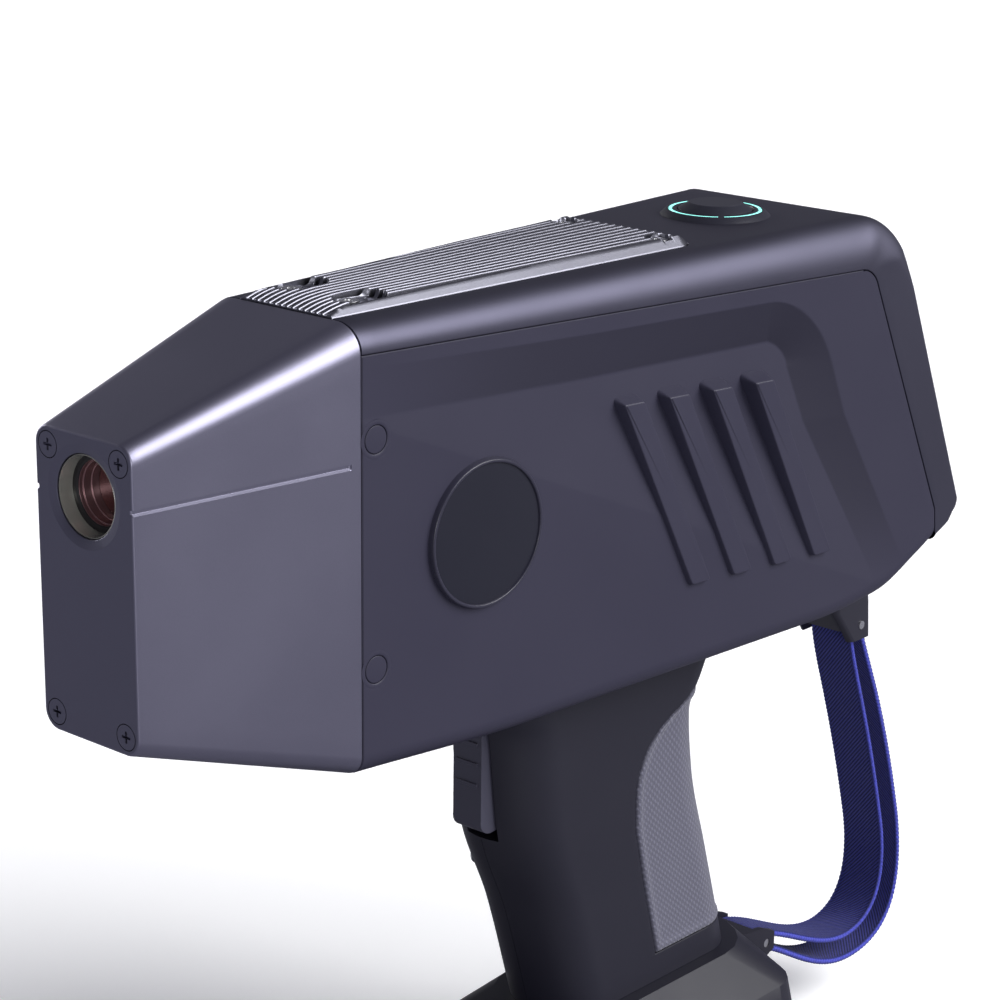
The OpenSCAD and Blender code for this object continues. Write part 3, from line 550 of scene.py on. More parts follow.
@dataclass(frozen=True)
class Moulded:
    """Moulded plastic or rubber with a fine grain, cloudy tone and slightly uneven gloss."""
    name: str
    colour: Colour
    rough: float = 0.5
    grain_mm: float = 0.35
    grain_depth: float = 0.012
    shift: float = 0.12
    coat: float = 0.0
    spec: float = 0.35
    painted_shade: float = 0.0

    def material(self) -> bpy.types.Material:
        """Builds it: noise on tone and gloss, fine grain in the bump.

        With a painted shade, the surface's own u mixes in a darker tone as painted shade, and a little more
        roughness.

        Returns:
            The material.
        """
        g = Graph(self.name)
        at = g.place()
        cloud = g.noise(at, 28.0, 4.0)
        grain = g.noise(at, 1000.0 / self.grain_mm, 2.0, 0.6)
        low = g.mix(cloud, tone(self.colour, 1 - self.shift), tone(self.colour, 1 + self.shift))
        colour = g.mix(g.span(grain, 0.3, 0.7, 0.0, 0.35), low, tone(self.colour, 1 + 1.6 * self.shift))
        gloss = g.math("ADD", g.span(cloud, 0.3, 0.7, self.rough - 0.04, self.rough + 0.05),
                       g.span(grain, 0.3, 0.7, -0.03, 0.03))
        # painted shade: where the surface's u is 1 the tone is darkened to stand in for shade
        if self.painted_shade:
            mask = g.split(g.place(surface=True))[0]
            colour = g.mix(mask, colour, tone(self.colour, 1 - self.painted_shade))
            gloss = g.math("ADD", gloss, g.math("MULTIPLY", mask, 0.1))
        g.set(Base_Color=colour, Roughness=gloss, Normal=g.bump(grain, self.grain_depth),
              Specular_IOR_Level=self.spec)
        if self.coat:
            g.set(Coat_Weight=self.coat, Coat_Roughness=0.12)
        return g.material


@dataclass(frozen=True)
class Metal:
    """Bare or painted metal: flecks or blasting grain, faint smears and an even metallic base."""
    name: str
    colour: Colour
    rough: float = 0.3
    metallic: float = 1.0
    grain_mm: float = 0.25
    grain_depth: float = 0.006
    brushed: Point = (1.0, 1.0, 1.0)
    shift: float = 0.08

    def material(self) -> bpy.types.Material:
        """Builds it: grain drawn out by ``brushed``, smears on gloss, constants on the shader.

        Returns:
            The material.
        """
        g = Graph(self.name)
        at = g.place(scale=self.brushed)
        grain = g.noise(at, 1000.0 / self.grain_mm, 3.0, 0.65)
        smear = g.noise(g.place(), 17.0, 4.0)
        colour = g.mix(grain, tone(self.colour, 1 - self.shift), tone(self.colour, 1 + self.shift))
        gloss = g.math("ADD", g.span(smear, 0.3, 0.7, self.rough - 0.03, self.rough + 0.05),
                       g.span(grain, 0.3, 0.7, -0.02, 0.04))
        g.set(Base_Color=colour, Metallic=self.metallic, Roughness=gloss,
              Normal=g.bump(grain, self.grain_depth))
        return g.material


@dataclass(frozen=True)
class DottedPad:
    """Soft grip rubber with a staggered field of small dots in its surface coordinates."""
    name: str
    colour: Colour
    pitch_mm: float = 1.05

    def material(self) -> bpy.types.Material:
        """Builds it: the product of two cosines gives the staggered dots; their height sets the bump and also
        the tone, darker between the dots as painted shade and lighter on their tops as a painted highlight.

        The height is cos(2 pi 0.577 u / pitch) cos(2 pi 0.5 v / pitch), cut off at zero, to the
        power 0.7; every other peak of the product is negative and stays flat.

        Returns:
            The material.
        """
        g = Graph(self.name)
        u, v, _ = g.split(g.place(surface=True))
        wave = lambda x, f: g.math("COSINE", g.math("MULTIPLY", x, 2 * math.pi * f / self.pitch_mm))
        bumps = g.math("MAXIMUM", g.math("MULTIPLY", wave(u, 0.577), wave(v, 0.5)), 0.0)
        height = g.math("POWER", bumps, 0.7)
        cloud = g.noise(g.place(), 40.0, 3.0)
        # painted shade between the dots and painted highlight on their tops, from the same height as the bump
        colour = g.mix(height, tone(self.colour, 0.72), tone(self.colour, 1.12))
        colour = g.mix(g.span(cloud, 0.3, 0.7, 0.0, 0.25), colour, tone(self.colour, 0.9))
        g.set(Base_Color=colour, Roughness=g.span(cloud, 0.3, 0.7, 0.5, 0.62), Sheen_Weight=0.25,
              Sheen_Roughness=0.5, Normal=g.bump(height, 0.16, 0.8))
        return g.material


@dataclass(frozen=True)
class TwillWebbing:
    """Woven strap: diagonal twill ribs crossed by warp threads, brighter at the bound edges."""
    name: str
    dark: Colour
    bright: Colour
    width_mm: float = 13.5

    def material(self) -> bpy.types.Material:
        """Builds it in surface millimetres: u across the width, v along the strap.

        Ribs are sin(2 pi (u + 0.8 v) / 1.05), threads are sin(2 pi (u - 1.5 v) / 0.62), both
        brought to 0..1; the weave is ribs^0.8 times the threads' 0.45..1.

        Returns:
            The material.
        """
        g = Graph(self.name)
        u, v, _ = g.split(g.place(surface=True))
        sine = lambda x, pitch: g.math("SINE", g.math("MULTIPLY", x, 2 * math.pi / pitch))
        wave = lambda x, pitch: g.span(sine(x, pitch), -1, 1, 0, 1)
        ribs = wave(g.math("ADD", u, g.math("MULTIPLY", v, 0.8)), 1.05)
        fine = wave(g.math("SUBTRACT", u, g.math("MULTIPLY", v, 1.5)), 0.62)
        weave = g.math("MULTIPLY", g.math("POWER", ribs, 0.8), g.span(fine, 0, 1, 0.45, 1.0))
        fuzz = g.noise(g.place(), 900.0, 2.0)
        edge = g.span(g.math("ABSOLUTE", u), self.width_mm / 2 - 0.75, self.width_mm / 2 - 0.45, 0, 1)
        # the weave's height sets the tone: partly the weave's own pattern, partly painted shade in its
        # valleys and painted highlight on its ribs
        body = g.mix(weave, self.dark, self.bright)
        bound = g.math("MULTIPLY", edge, g.span(fuzz, 0.3, 0.7, 0.5, 1.0))
        colour = g.mix(bound, body, tone(self.bright, 1.5))
        gloss = g.span(fuzz, 0.3, 0.7, 0.62, 0.8)
        height = g.math("ADD", weave, g.math("MULTIPLY", fuzz, 0.25))
        g.set(Base_Color=colour, Roughness=gloss, Specular_IOR_Level=0.2,
              Sheen_Weight=0.08, Sheen_Roughness=0.4, Normal=g.bump(height, 0.22, 0.9))
        return g.material


@dataclass(frozen=True)
class TintedGlass:
    """Coated window or display glass: deep tone, clear gloss, faint dust."""
    name: str
    colour: Colour
    coat: float
    rough: float
    spec: float = 0.5

    def material(self) -> bpy.types.Material:
        """Builds it: dust noise on gloss and tone; constants on the shader.

        Returns:
            The material.
        """
        g = Graph(self.name)
        dust = g.noise(g.place(), 160.0, 5.0, 0.7)
        g.set(Base_Color=g.mix(g.span(dust, 0.55, 0.8, 0.0, 0.3), self.colour, tone(self.colour, 1.8)),
              Roughness=g.span(dust, 0.45, 0.8, self.rough, self.rough + 0.08), Coat_Weight=self.coat,
              Coat_Roughness=0.02, IOR=1.52, Specular_IOR_Level=self.spec)
        return g.material


@dataclass(frozen=True)
class Lit:
    """Light guide with an even, faintly mottled glow."""
    name: str
    colour: Colour
    power: float = 2.0

    def material(self) -> bpy.types.Material:
        """Builds it: emission with a slight mottling.

        Returns:
            The material.
        """
        g = Graph(self.name)
        cloud = g.noise(g.place(), 220.0, 2.0)
        g.set(Base_Color=g.mix(cloud, tone(self.colour, 0.8), self.colour), Roughness=0.3,
              Emission_Color=g.mix(cloud, tone(self.colour, 0.85), self.colour), Emission_Strength=self.power)
        return g.material


@dataclass(frozen=True)
class Circuit:
    """Solder mask over copper tracks: a blocky cell pattern in the tone and the bump."""
    name: str
    colour: Colour

    def material(self) -> bpy.types.Material:
        """Builds it from the distance to the edges of square-ish cells.

        Returns:
            The material.
        """
        g = Graph(self.name)
        blocks = g.cells(g.place(scale=(1, 1.4, 1)), 420.0, "DISTANCE_TO_EDGE", 0.35)
        tracks = g.span(blocks, 0.02, 0.07, 1.0, 0.0)
        cloud = g.noise(g.place(), 90.0, 3.0)
        base = g.mix(cloud, tone(self.colour, 0.8), tone(self.colour, 1.15))
        g.set(Base_Color=g.mix(g.math("MULTIPLY", tracks, 0.5), base, tone(self.colour, 2.2)),
              Roughness=g.span(cloud, 0.3, 0.7, 0.3, 0.42), Normal=g.bump(tracks, 0.03))
        return g.material


class Finish(Enum):
    """Every finish of the instrument."""
    NOSE = Metal("nose_paint", (0.225, 0.219, 0.290), 0.40, 1.0, 0.22, 0.004, shift=0.10)
    # darker copy of the nose's paint: painted shade on the measuring face and its screw heads
    PLATE_SHADED = Metal("plate_paint_shaded", (0.168, 0.165, 0.220), 0.36, 1.0, 0.22, 0.004, shift=0.10)
    COVER = Metal("cover_satin", (0.075, 0.073, 0.104), 0.45, 0.9, 0.22, 0.006, shift=0.10)
    # the sloped border of the side's sunk field is darkened as painted shade
    SIDE = Moulded("side_soft", (0.0275, 0.0260, 0.0465), 0.50, 0.28, 0.010, 0.07, spec=0.3, painted_shade=0.22)
    RIB = Moulded("rib_soft", (0.0290, 0.0275, 0.0490), 0.44, 0.28, 0.010, 0.07, spec=0.35)
    BADGE_RIM = Moulded("badge_rim", (0.026, 0.025, 0.042), 0.32, 0.3, 0.004, 0.06)
    BADGE = Moulded("badge_gloss", (0.0122, 0.0125, 0.0212), 0.34, 0.5, 0.003, 0.05, spec=0.3)
    STEEL = Metal("bright_steel", (0.60, 0.60, 0.62), 0.26, 1.0, 0.12, 0.004, (1.0, 6.0, 1.0))
    BEZEL = Metal("lapped_ring", (0.56, 0.56, 0.50), 0.20, 0.65, 0.10, 0.003, (6.0, 1.0, 1.0))
    BAFFLE = Metal("baffle_step", (0.30, 0.175, 0.185), 0.34, 0.85, 0.2, 0.004)
    # near-black: the aperture lip's own dark step, and a painted shadow gap round the plate's screws
    BLACK_AND_SHADOW = Moulded("black_and_shadow", (0.010, 0.009, 0.010), 0.45)
    WINDOW = TintedGlass("window_red", (0.075, 0.022, 0.020), 1.0, 0.05)
    SINK = Metal("blasted_aluminium", (0.20, 0.20, 0.235), 0.31, 1.0, 0.16, 0.004, (1.0, 0.25, 1.0))
    BUTTON = Moulded("button_black", (0.019, 0.019, 0.029), 0.36, 0.3, 0.006, 0.10)
    MARK = Moulded("button_mark", (0.10, 0.10, 0.125), 0.4, 0.3, 0.004)
    GLOW = Lit("ring_glow", (0.30, 0.90, 0.82), 1.15)
    REAR = Moulded("rear_black", (0.008, 0.008, 0.012), 0.30, 0.3, 0.006, 0.10)
    DISPLAY = TintedGlass("display_black", (0.006, 0.007, 0.010), 0.0, 0.16, 0.09)
    DOOR = Moulded("door_rubber", (0.026, 0.026, 0.034), 0.62, 0.4, 0.02, 0.12)
    GRIP = Moulded("grip_plastic", (0.0130, 0.0126, 0.0210), 0.44, 0.26, 0.012, 0.08, spec=0.3)
    PAD = DottedPad("pad_rubber", (0.102, 0.101, 0.146))
    TRIGGER = Moulded("trigger_plastic", (0.047, 0.046, 0.068), 0.40, 0.26, 0.008, 0.08)
    WELL = Moulded("well_plastic", (0.060, 0.060, 0.070), 0.5, 0.4, 0.015, 0.12)
    LUG = Moulded("lug_plastic", (0.0160, 0.0155, 0.0245), 0.36, 0.26, 0.008, 0.08)
    STRAP = TwillWebbing("strap_twill", (0.011, 0.012, 0.045), (0.048, 0.055, 0.34))
    THREAD = Moulded("strap_thread", (0.028, 0.032, 0.15), 0.7, 0.2, 0.03, 0.2, spec=0.2)
    CASE = Moulded("battery_plastic", (0.011, 0.0105, 0.018), 0.46, 0.3, 0.014, 0.10)
    SOLE = Moulded("sole_rubber", (0.012, 0.012, 0.015), 0.75, 0.5, 0.03, 0.2)
    LATCH = Moulded("latch_plastic", (0.018, 0.018, 0.024), 0.5, 0.3, 0.012, 0.1)
    CELL = Moulded("cell_wrap", (0.03, 0.09, 0.32), 0.24, 0.8, 0.004, 0.06, coat=0.5)
    BRASS = Metal("brass", (0.74, 0.55, 0.24), 0.24, 1.0, 0.15, 0.004)
    MILLED = Metal("milled_aluminium", (0.62, 0.62, 0.64), 0.3, 1.0, 0.2, 0.006, (1.0, 8.0, 1.0))
    TUBE = Metal("tube_steel", (0.50, 0.51, 0.54), 0.22, 1.0, 0.2, 0.004, (1.0, 6.0, 1.0))
    MOTOR = Metal("motor_can", (0.22, 0.22, 0.24), 0.34, 1.0, 0.2, 0.006)
    POTTING = Moulded("potting", (0.42, 0.37, 0.26), 0.3, 0.9, 0.02, 0.12, coat=0.3)
    COPPER = Metal("copper", (0.78, 0.36, 0.22), 0.28, 1.0, 0.2, 0.005, (1.0, 8.0, 1.0))
    BOARD = Circuit("board_green", (0.010, 0.075, 0.032))


@lru_cache(maxsize=None)
def made(finish: Finish) -> bpy.types.Material:
    """A finish's material, built on first use."""
    return finish.value.material()


def dress(thing: Piece, finish: Finish) -> None:
    """Gives an object one finish in all its slots.

    Args:
        thing: the object.
        finish: its finish.
    """
    slots = thing.data.materials
    if not slots:
        slots.append(made(finish))
    for i in range(len(slots)):
        slots[i] = made(finish)


def fit(thing: Piece, finish: Finish, slot: str, body: str = MAIN, *nodes: str) -> None:
    """Finishes a new piece: finish, body and the nodes it stands for.

    Args:
        thing: the piece.
        finish: its finish.
        slot: the record's material slot; not used.
        body: the body it rides on.
        *nodes: frame nodes it replaces.
    """
    dress(thing, finish)
    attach(thing, body)
    if nodes:
        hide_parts(*nodes)
    LOG.info("%s: %d faces on %s", thing.name, len(thing.data.polygons), body)


# ---- the body's form

@dataclass(frozen=True)
class BodyForm:
    """Outer form shared by the nose, the cover and the side shells."""
    nose_len: float = 57.0
    front: float = 57.15
    half_front: float = 22.85
    half_rear: float = 36.5
    taper_len: float = 215.0
    top: float = 240.0
    gap: float = 0.10
    seam_high: float = 233.7
    seam_fall: float = 0.03273
    seam_turn: Pair = (225.27, 220.9)
    seam_turn_r: Pair = (7.6, 7.0)
    seam_knees: Tuple[Pair, ...] = ((232.3, 223.5), (261.9, 158.0))
    belly_y: Tuple[float, ...] = (57, 110, 215, 240, 256, 268, 274)
    belly_z: Tuple[float, ...] = (138.3, 136, 136, 138.2, 144.8, 151.5, 155.5)

    def half(self, y: np.ndarray) -> np.ndarray:
        """Half the body's width at y; it grows evenly from the nose to the rear."""
        return self.half_front + (self.half_rear - self.half_front) * (y - self.nose_len) / self.taper_len

    def belly(self, y: np.ndarray) -> np.ndarray:
        """Height of the body's underside at y, as a smooth curve."""
        return fair_curve(y, self.belly_y, self.belly_z)

    def seam_top(self, y: np.ndarray) -> np.ndarray:
        """Height of the cover's lower edge along the side."""
        return self.seam_high - self.seam_fall * (y - 47.0)

    def seam_rear(self, z: np.ndarray) -> np.ndarray:
        """How far back the side panel reaches: a turned corner, then two lines.

        Args:
            z: heights.

        Returns:
            y at each height.
        """
        (mid_y, mid_z), (ry, rz), ((y1, z1), (y2, z2)) = self.seam_turn, self.seam_turn_r, self.seam_knees
        corner = mid_y + ry * np.sqrt(np.clip(1 - ((z - mid_z) / rz) ** 2, 0, 1))
        line = np.where(z > z2, y1 + (z1 - z) * 0.45191, y2 + (z2 - z) * 0.10476)
        return np.where(z > z1, corner, line)

    @property
    def slope(self) -> float:
        """The side's angle to the centre plane."""
        return math.atan2(self.half_rear - self.half_front, self.taper_len)

    def side(self) -> Axes:
        """Frame of the +X side.

        Returns:
            Axes with x back along the side, y up and z outwards.
        """
        a = self.slope
        return Axes((self.half_front, self.nose_len, 0.0), (math.sin(a), math.cos(a), 0.0), (0.0, 0.0, 1.0),
                    (math.cos(a), -math.sin(a), 0.0))


FORM = BodyForm()


def spaced(*stops: Tuple[float, int]) -> np.ndarray:
    """Stations made of even runs: the first stop's value, then count steps to each next one."""
    runs = [np.linspace(a[0], b[0], b[1] + 1)[1:] for a, b in zip(stops[:-1], stops[1:])]
    return np.concatenate([[stops[0][0]], *runs])


# ---- nose

@dataclass
class Nose:
    """Tapered nose housing with its side grooves, measuring plate, screws and aperture."""
    front_half: float = 14.85
    front_ease: float = 0.42
    screw_x: float = 10.9
    screw_z: Pair = (161.0, 219.2)
    seat_r: float = 2.95
    low: Pair = (157.0, 138.3)
    high: Pair = (223.2, 240.0)
    groove_z: float = 209.6
    groove_half: float = 0.65
    groove_deep: float = 0.55
    groove_end: float = 54.3
    groove_walls: Pair = (0.06, 0.7)
    aperture_z: float = 210.1
    aperture_r: float = 9.0
    dish: float = 2.1

    def housing(self) -> None:
        """Builds the loft: half a rounded section at each station, swept from plate to body.

        Half width, top, bottom and corner sizes all run evenly with y. The groove has
        a steep upper wall, a flat floor and a sloped lower lip, and dies out over its end.
        """
        front = eased_edge(self.front_ease, 5)[::-1]
        y = np.concatenate([front[:, 1], spaced((self.front_ease, 0), (53.0, 32), (54.6, 16), (56.6, 6))[1:],
                            [56.8, 56.85, 56.85]])
        inset = np.concatenate([front[:, 0], np.zeros(len(y) - len(front) - 3), [0.06, 0.22, 2.0]])
        t = (y / FORM.nose_len)[:, None]
        half = self.front_half + (FORM.half_front - self.front_half) * t
        low, high = (a + (b - a) * t for a, b in (self.low, self.high))
        sx, sz, r = 4.1 + 3.2 * t, 4.1 + 2.5 * t, 4.1 + 0.9 * t
        a = np.linspace(0, math.pi / 2, 13)[None, :]
        flat = np.linspace(0, 1, 6)[None, :-1]
        gz = self.groove_z + self.groove_half * np.array([
            1.5, 1.12, 1.0, 0.985, 0.96, 0.94, 0.8, 0.4, 0, -0.22, -0.28, -0.33, -0.45, -0.65, -0.8, -0.93,
            -1.0, -1.06, -1.5])
        upper = np.linspace(0, 1, 7)[None, 1:-1]
        lower = np.linspace(0, 1, 14)[None, 1:-1]
        groove = np.broadcast_to(gz, (len(y), len(gz)))
        side_z = np.concatenate([(high - sz) + (gz[0] - high + sz) * upper, groove,
                                 gz[-1] + (low + r - gz[-1]) * lower], 1)
        side_x = np.broadcast_to(half, side_z.shape)
        x = np.concatenate([(half - sx) * flat, half - sx + sx * np.sin(a), side_x, half - r + r * np.cos(a),
                            (half - r) * (1 - np.linspace(0, 1, 6)[None, 1:])], 1)
        z = np.concatenate([high + 0 * flat, high - sz + sz * np.cos(a), side_z, low + r - r * np.sin(a),
                            low + 0 * flat], 1)
        s = (z - self.groove_z) / self.groove_half
        past = np.clip(y - self.groove_end + self.groove_half, 0, None) / self.groove_half
        fade = np.sqrt(np.clip(1 - past ** 2, 0, 1))[:, None]
        on_side = np.abs(x - half) < 1e-6
        cut = np.clip(np.minimum((1.0 - s) / self.groove_walls[0], (s + 1.0) / self.groove_walls[1]), 0, 1)
        deep = self.groove_deep * cut * on_side * fade
        nx, nz = np.gradient(z, axis=1), -np.gradient(x, axis=1)
        size = np.hypot(nx, nz) + 1e-9
        nx, nz = -nx / size, -nz / size
        nx[:, 0] = nx[:, -1] = 0.0
        x, z = x - nx * inset[:, None] - deep, z - nz * inset[:, None]
        ring = np.stack([x, np.broadcast_to(y[:, None], x.shape), z], -1)
        other = ring[:, ::-1] * MIRROR
        whole = np.concatenate([ring, other[:, 1:-1]], 1)
        self.rim = whole[0][:, [0, 2]]
        thing = Skin("nose_shell").grid(whole, close_cols=True).build(32, away_from=(0, 30, 190))
        fit(thing, Finish.NOSE, "nose_metal", MAIN, "nose_housing")

    def plate(self) -> None:
        """The measuring face with its dish, bore and screw seats.

        The flat is the loft's front outline less the circles of the dish and of the four
        seats, as Delaunay triangles; a triangle is dropped when its middle lies in a circle.
        Dish, bore and seats are turned from the same circles' points.
        """
        a = np.radians(np.arange(0, 360, 3))
        unit = np.stack([np.cos(a), np.sin(a)], 1)
        r = self.aperture_r
        holes = [(0.0, self.aperture_z, r + self.dish)] + [
            (side * self.screw_x, z, self.seat_r) for side in (-1, 1) for z in self.screw_z]
        loops = [self.rim] + [np.array([x, z]) + unit * reach for x, z, reach in holes]
        starts = np.cumsum([0] + [len(q) for q in loops])
        edges = [(i, starts[k] + (i - starts[k] + 1) % len(q)) for k, q in enumerate(loops)
                 for i in range(starts[k], starts[k + 1])]
        flat, _, faces = delaunay_2d_cdt([Vector(p) for p in np.concatenate(loops)], edges, [], 1, 1e-7)[:3]
        flat, faces = np.array(flat), np.array(faces)
        middle = flat[faces].mean(1)
        outside = lambda x, z, reach: np.hypot(middle[:, 0] - x, middle[:, 1] - z) > reach * 0.9995
        keep = np.all([outside(*hole) for hole in holes], 0)
        skin = Skin("measuring_plate").sheet(np.insert(flat, 1, 0.0, axis=1), faces[keep])
        at = lambda x, z: Axes((x, 0, z), (1, 0, 0), (0, 0, 1), (0, 1, 0))
        dish = [(r + self.dish, 0.0), (r + 2.0, 0.02), (r + 0.35, 0.44), (r + 0.16, 0.5), (r + 0.04, 0.58),
                (r, 0.7), (r, 2.95)]
        skin.turned(np.array(dish), at(0, self.aperture_z), 120)
        # the face takes the nose's paint darkened as painted shade
        fit(skin.build(9, away_from=(0, 30, 190)), Finish.PLATE_SHADED, "plate_dark", MAIN, "nose_plate")
        # the seats are near-black as a painted shadow gap round each screw head
        seats = Skin("screw_seats")
        for x, z, reach in holes[1:]:
            seat = [(reach, 0.0), (reach - 0.02, 0.05), (reach - 0.03, 0.9), (1.6, 1.7)]
            seats.turned(np.array(seat), at(x, z), 120)
        fit(seats.build(30, away_from=(0, -30, 190)), Finish.BLACK_AND_SHADOW, "plate_dark")

    def screws(self) -> None:
        """Eases the cross-slot screw heads in the plate."""
        # the screw heads share the plate's painted-shade tone
        fit(eased_copy("plate_screws", "plate_screw_heads", 0.07, 2, 35), Finish.PLATE_SHADED, "screw_dark")

    def aperture(self) -> None:
        """Turns the lapped ring, the stepped baffle and the window about the aperture's axis.

        Each is a closed profile of radius and depth behind the measuring face; corners are
        broken with short arcs and the window is a shallow lens.
        """
        axes = Axes((0, 0, self.aperture_z), (1, 0, 0), (0, 0, 1), (0, 1, 0))
        r = self.aperture_r
        wall = [(r - 0.35, 0.72), (r - 0.17, 0.9), (r - 0.17, 3.04), (r + 1.28, 3.04), (r + 1.28, 4.1),
                (r - 0.7, 4.1)]
        lip = [(r - 0.66, 4.12), (r + 1.28, 4.12), (r + 1.28, 4.58), (r - 2, 4.58), (r - 2, 4.4),
               (r - 1.6, 4.12)]
        rings = ("aperture_ring", Finish.BEZEL, wall), ("aperture_lip", Finish.BLACK_AND_SHADOW, lip)
        for name, finish, corners in rings:
            ring = closed_ring(rounded_outline(corners, 0.06, 3))
            fit(Skin(name).turned(ring, axes, 128).build(30), finish, "bezel_metal", MAIN, "window_bezel")
        steps = [(r - 2.02, 4.64), (r + 1.25, 4.64), (r + 1.25, 12.98), (5.42, 12.98), (5.42, 10.42),
                 (6.42, 10.42), (6.42, 7.62), (r - 2.32, 7.62), (r - 2.32, 5.62), (r - 2.02, 5.62)]
        radii = [0.12, 0.1, 0.1, 0.1, 0.12, 0.08, 0.14, 0.14, 0.14, 0.1]
        steps = closed_ring(rounded_outline(steps, radii, 3))
        fit(Skin("aperture_baffle").turned(steps, axes, 96).build(30), Finish.BAFFLE, "baffle_black", MAIN,
            "window_baffle")
        t = np.linspace(0, 1, 14)
        front = np.column_stack([6.25 * t, 9.27 + 0.22 * t ** 2])
        back = np.column_stack([6.25 * (1 - t), 10.3 + 0 * t])
        fit(Skin("aperture_window").turned(np.concatenate([front, back]), axes, 72).build(30), Finish.WINDOW,
            "window_glass", MAIN, "window_glass")

    def build(self) -> None:
        """Builds every piece of the nose."""
        self.housing()
        self.plate()
        self.screws()
        self.aperture()


# ---- cover and side shells

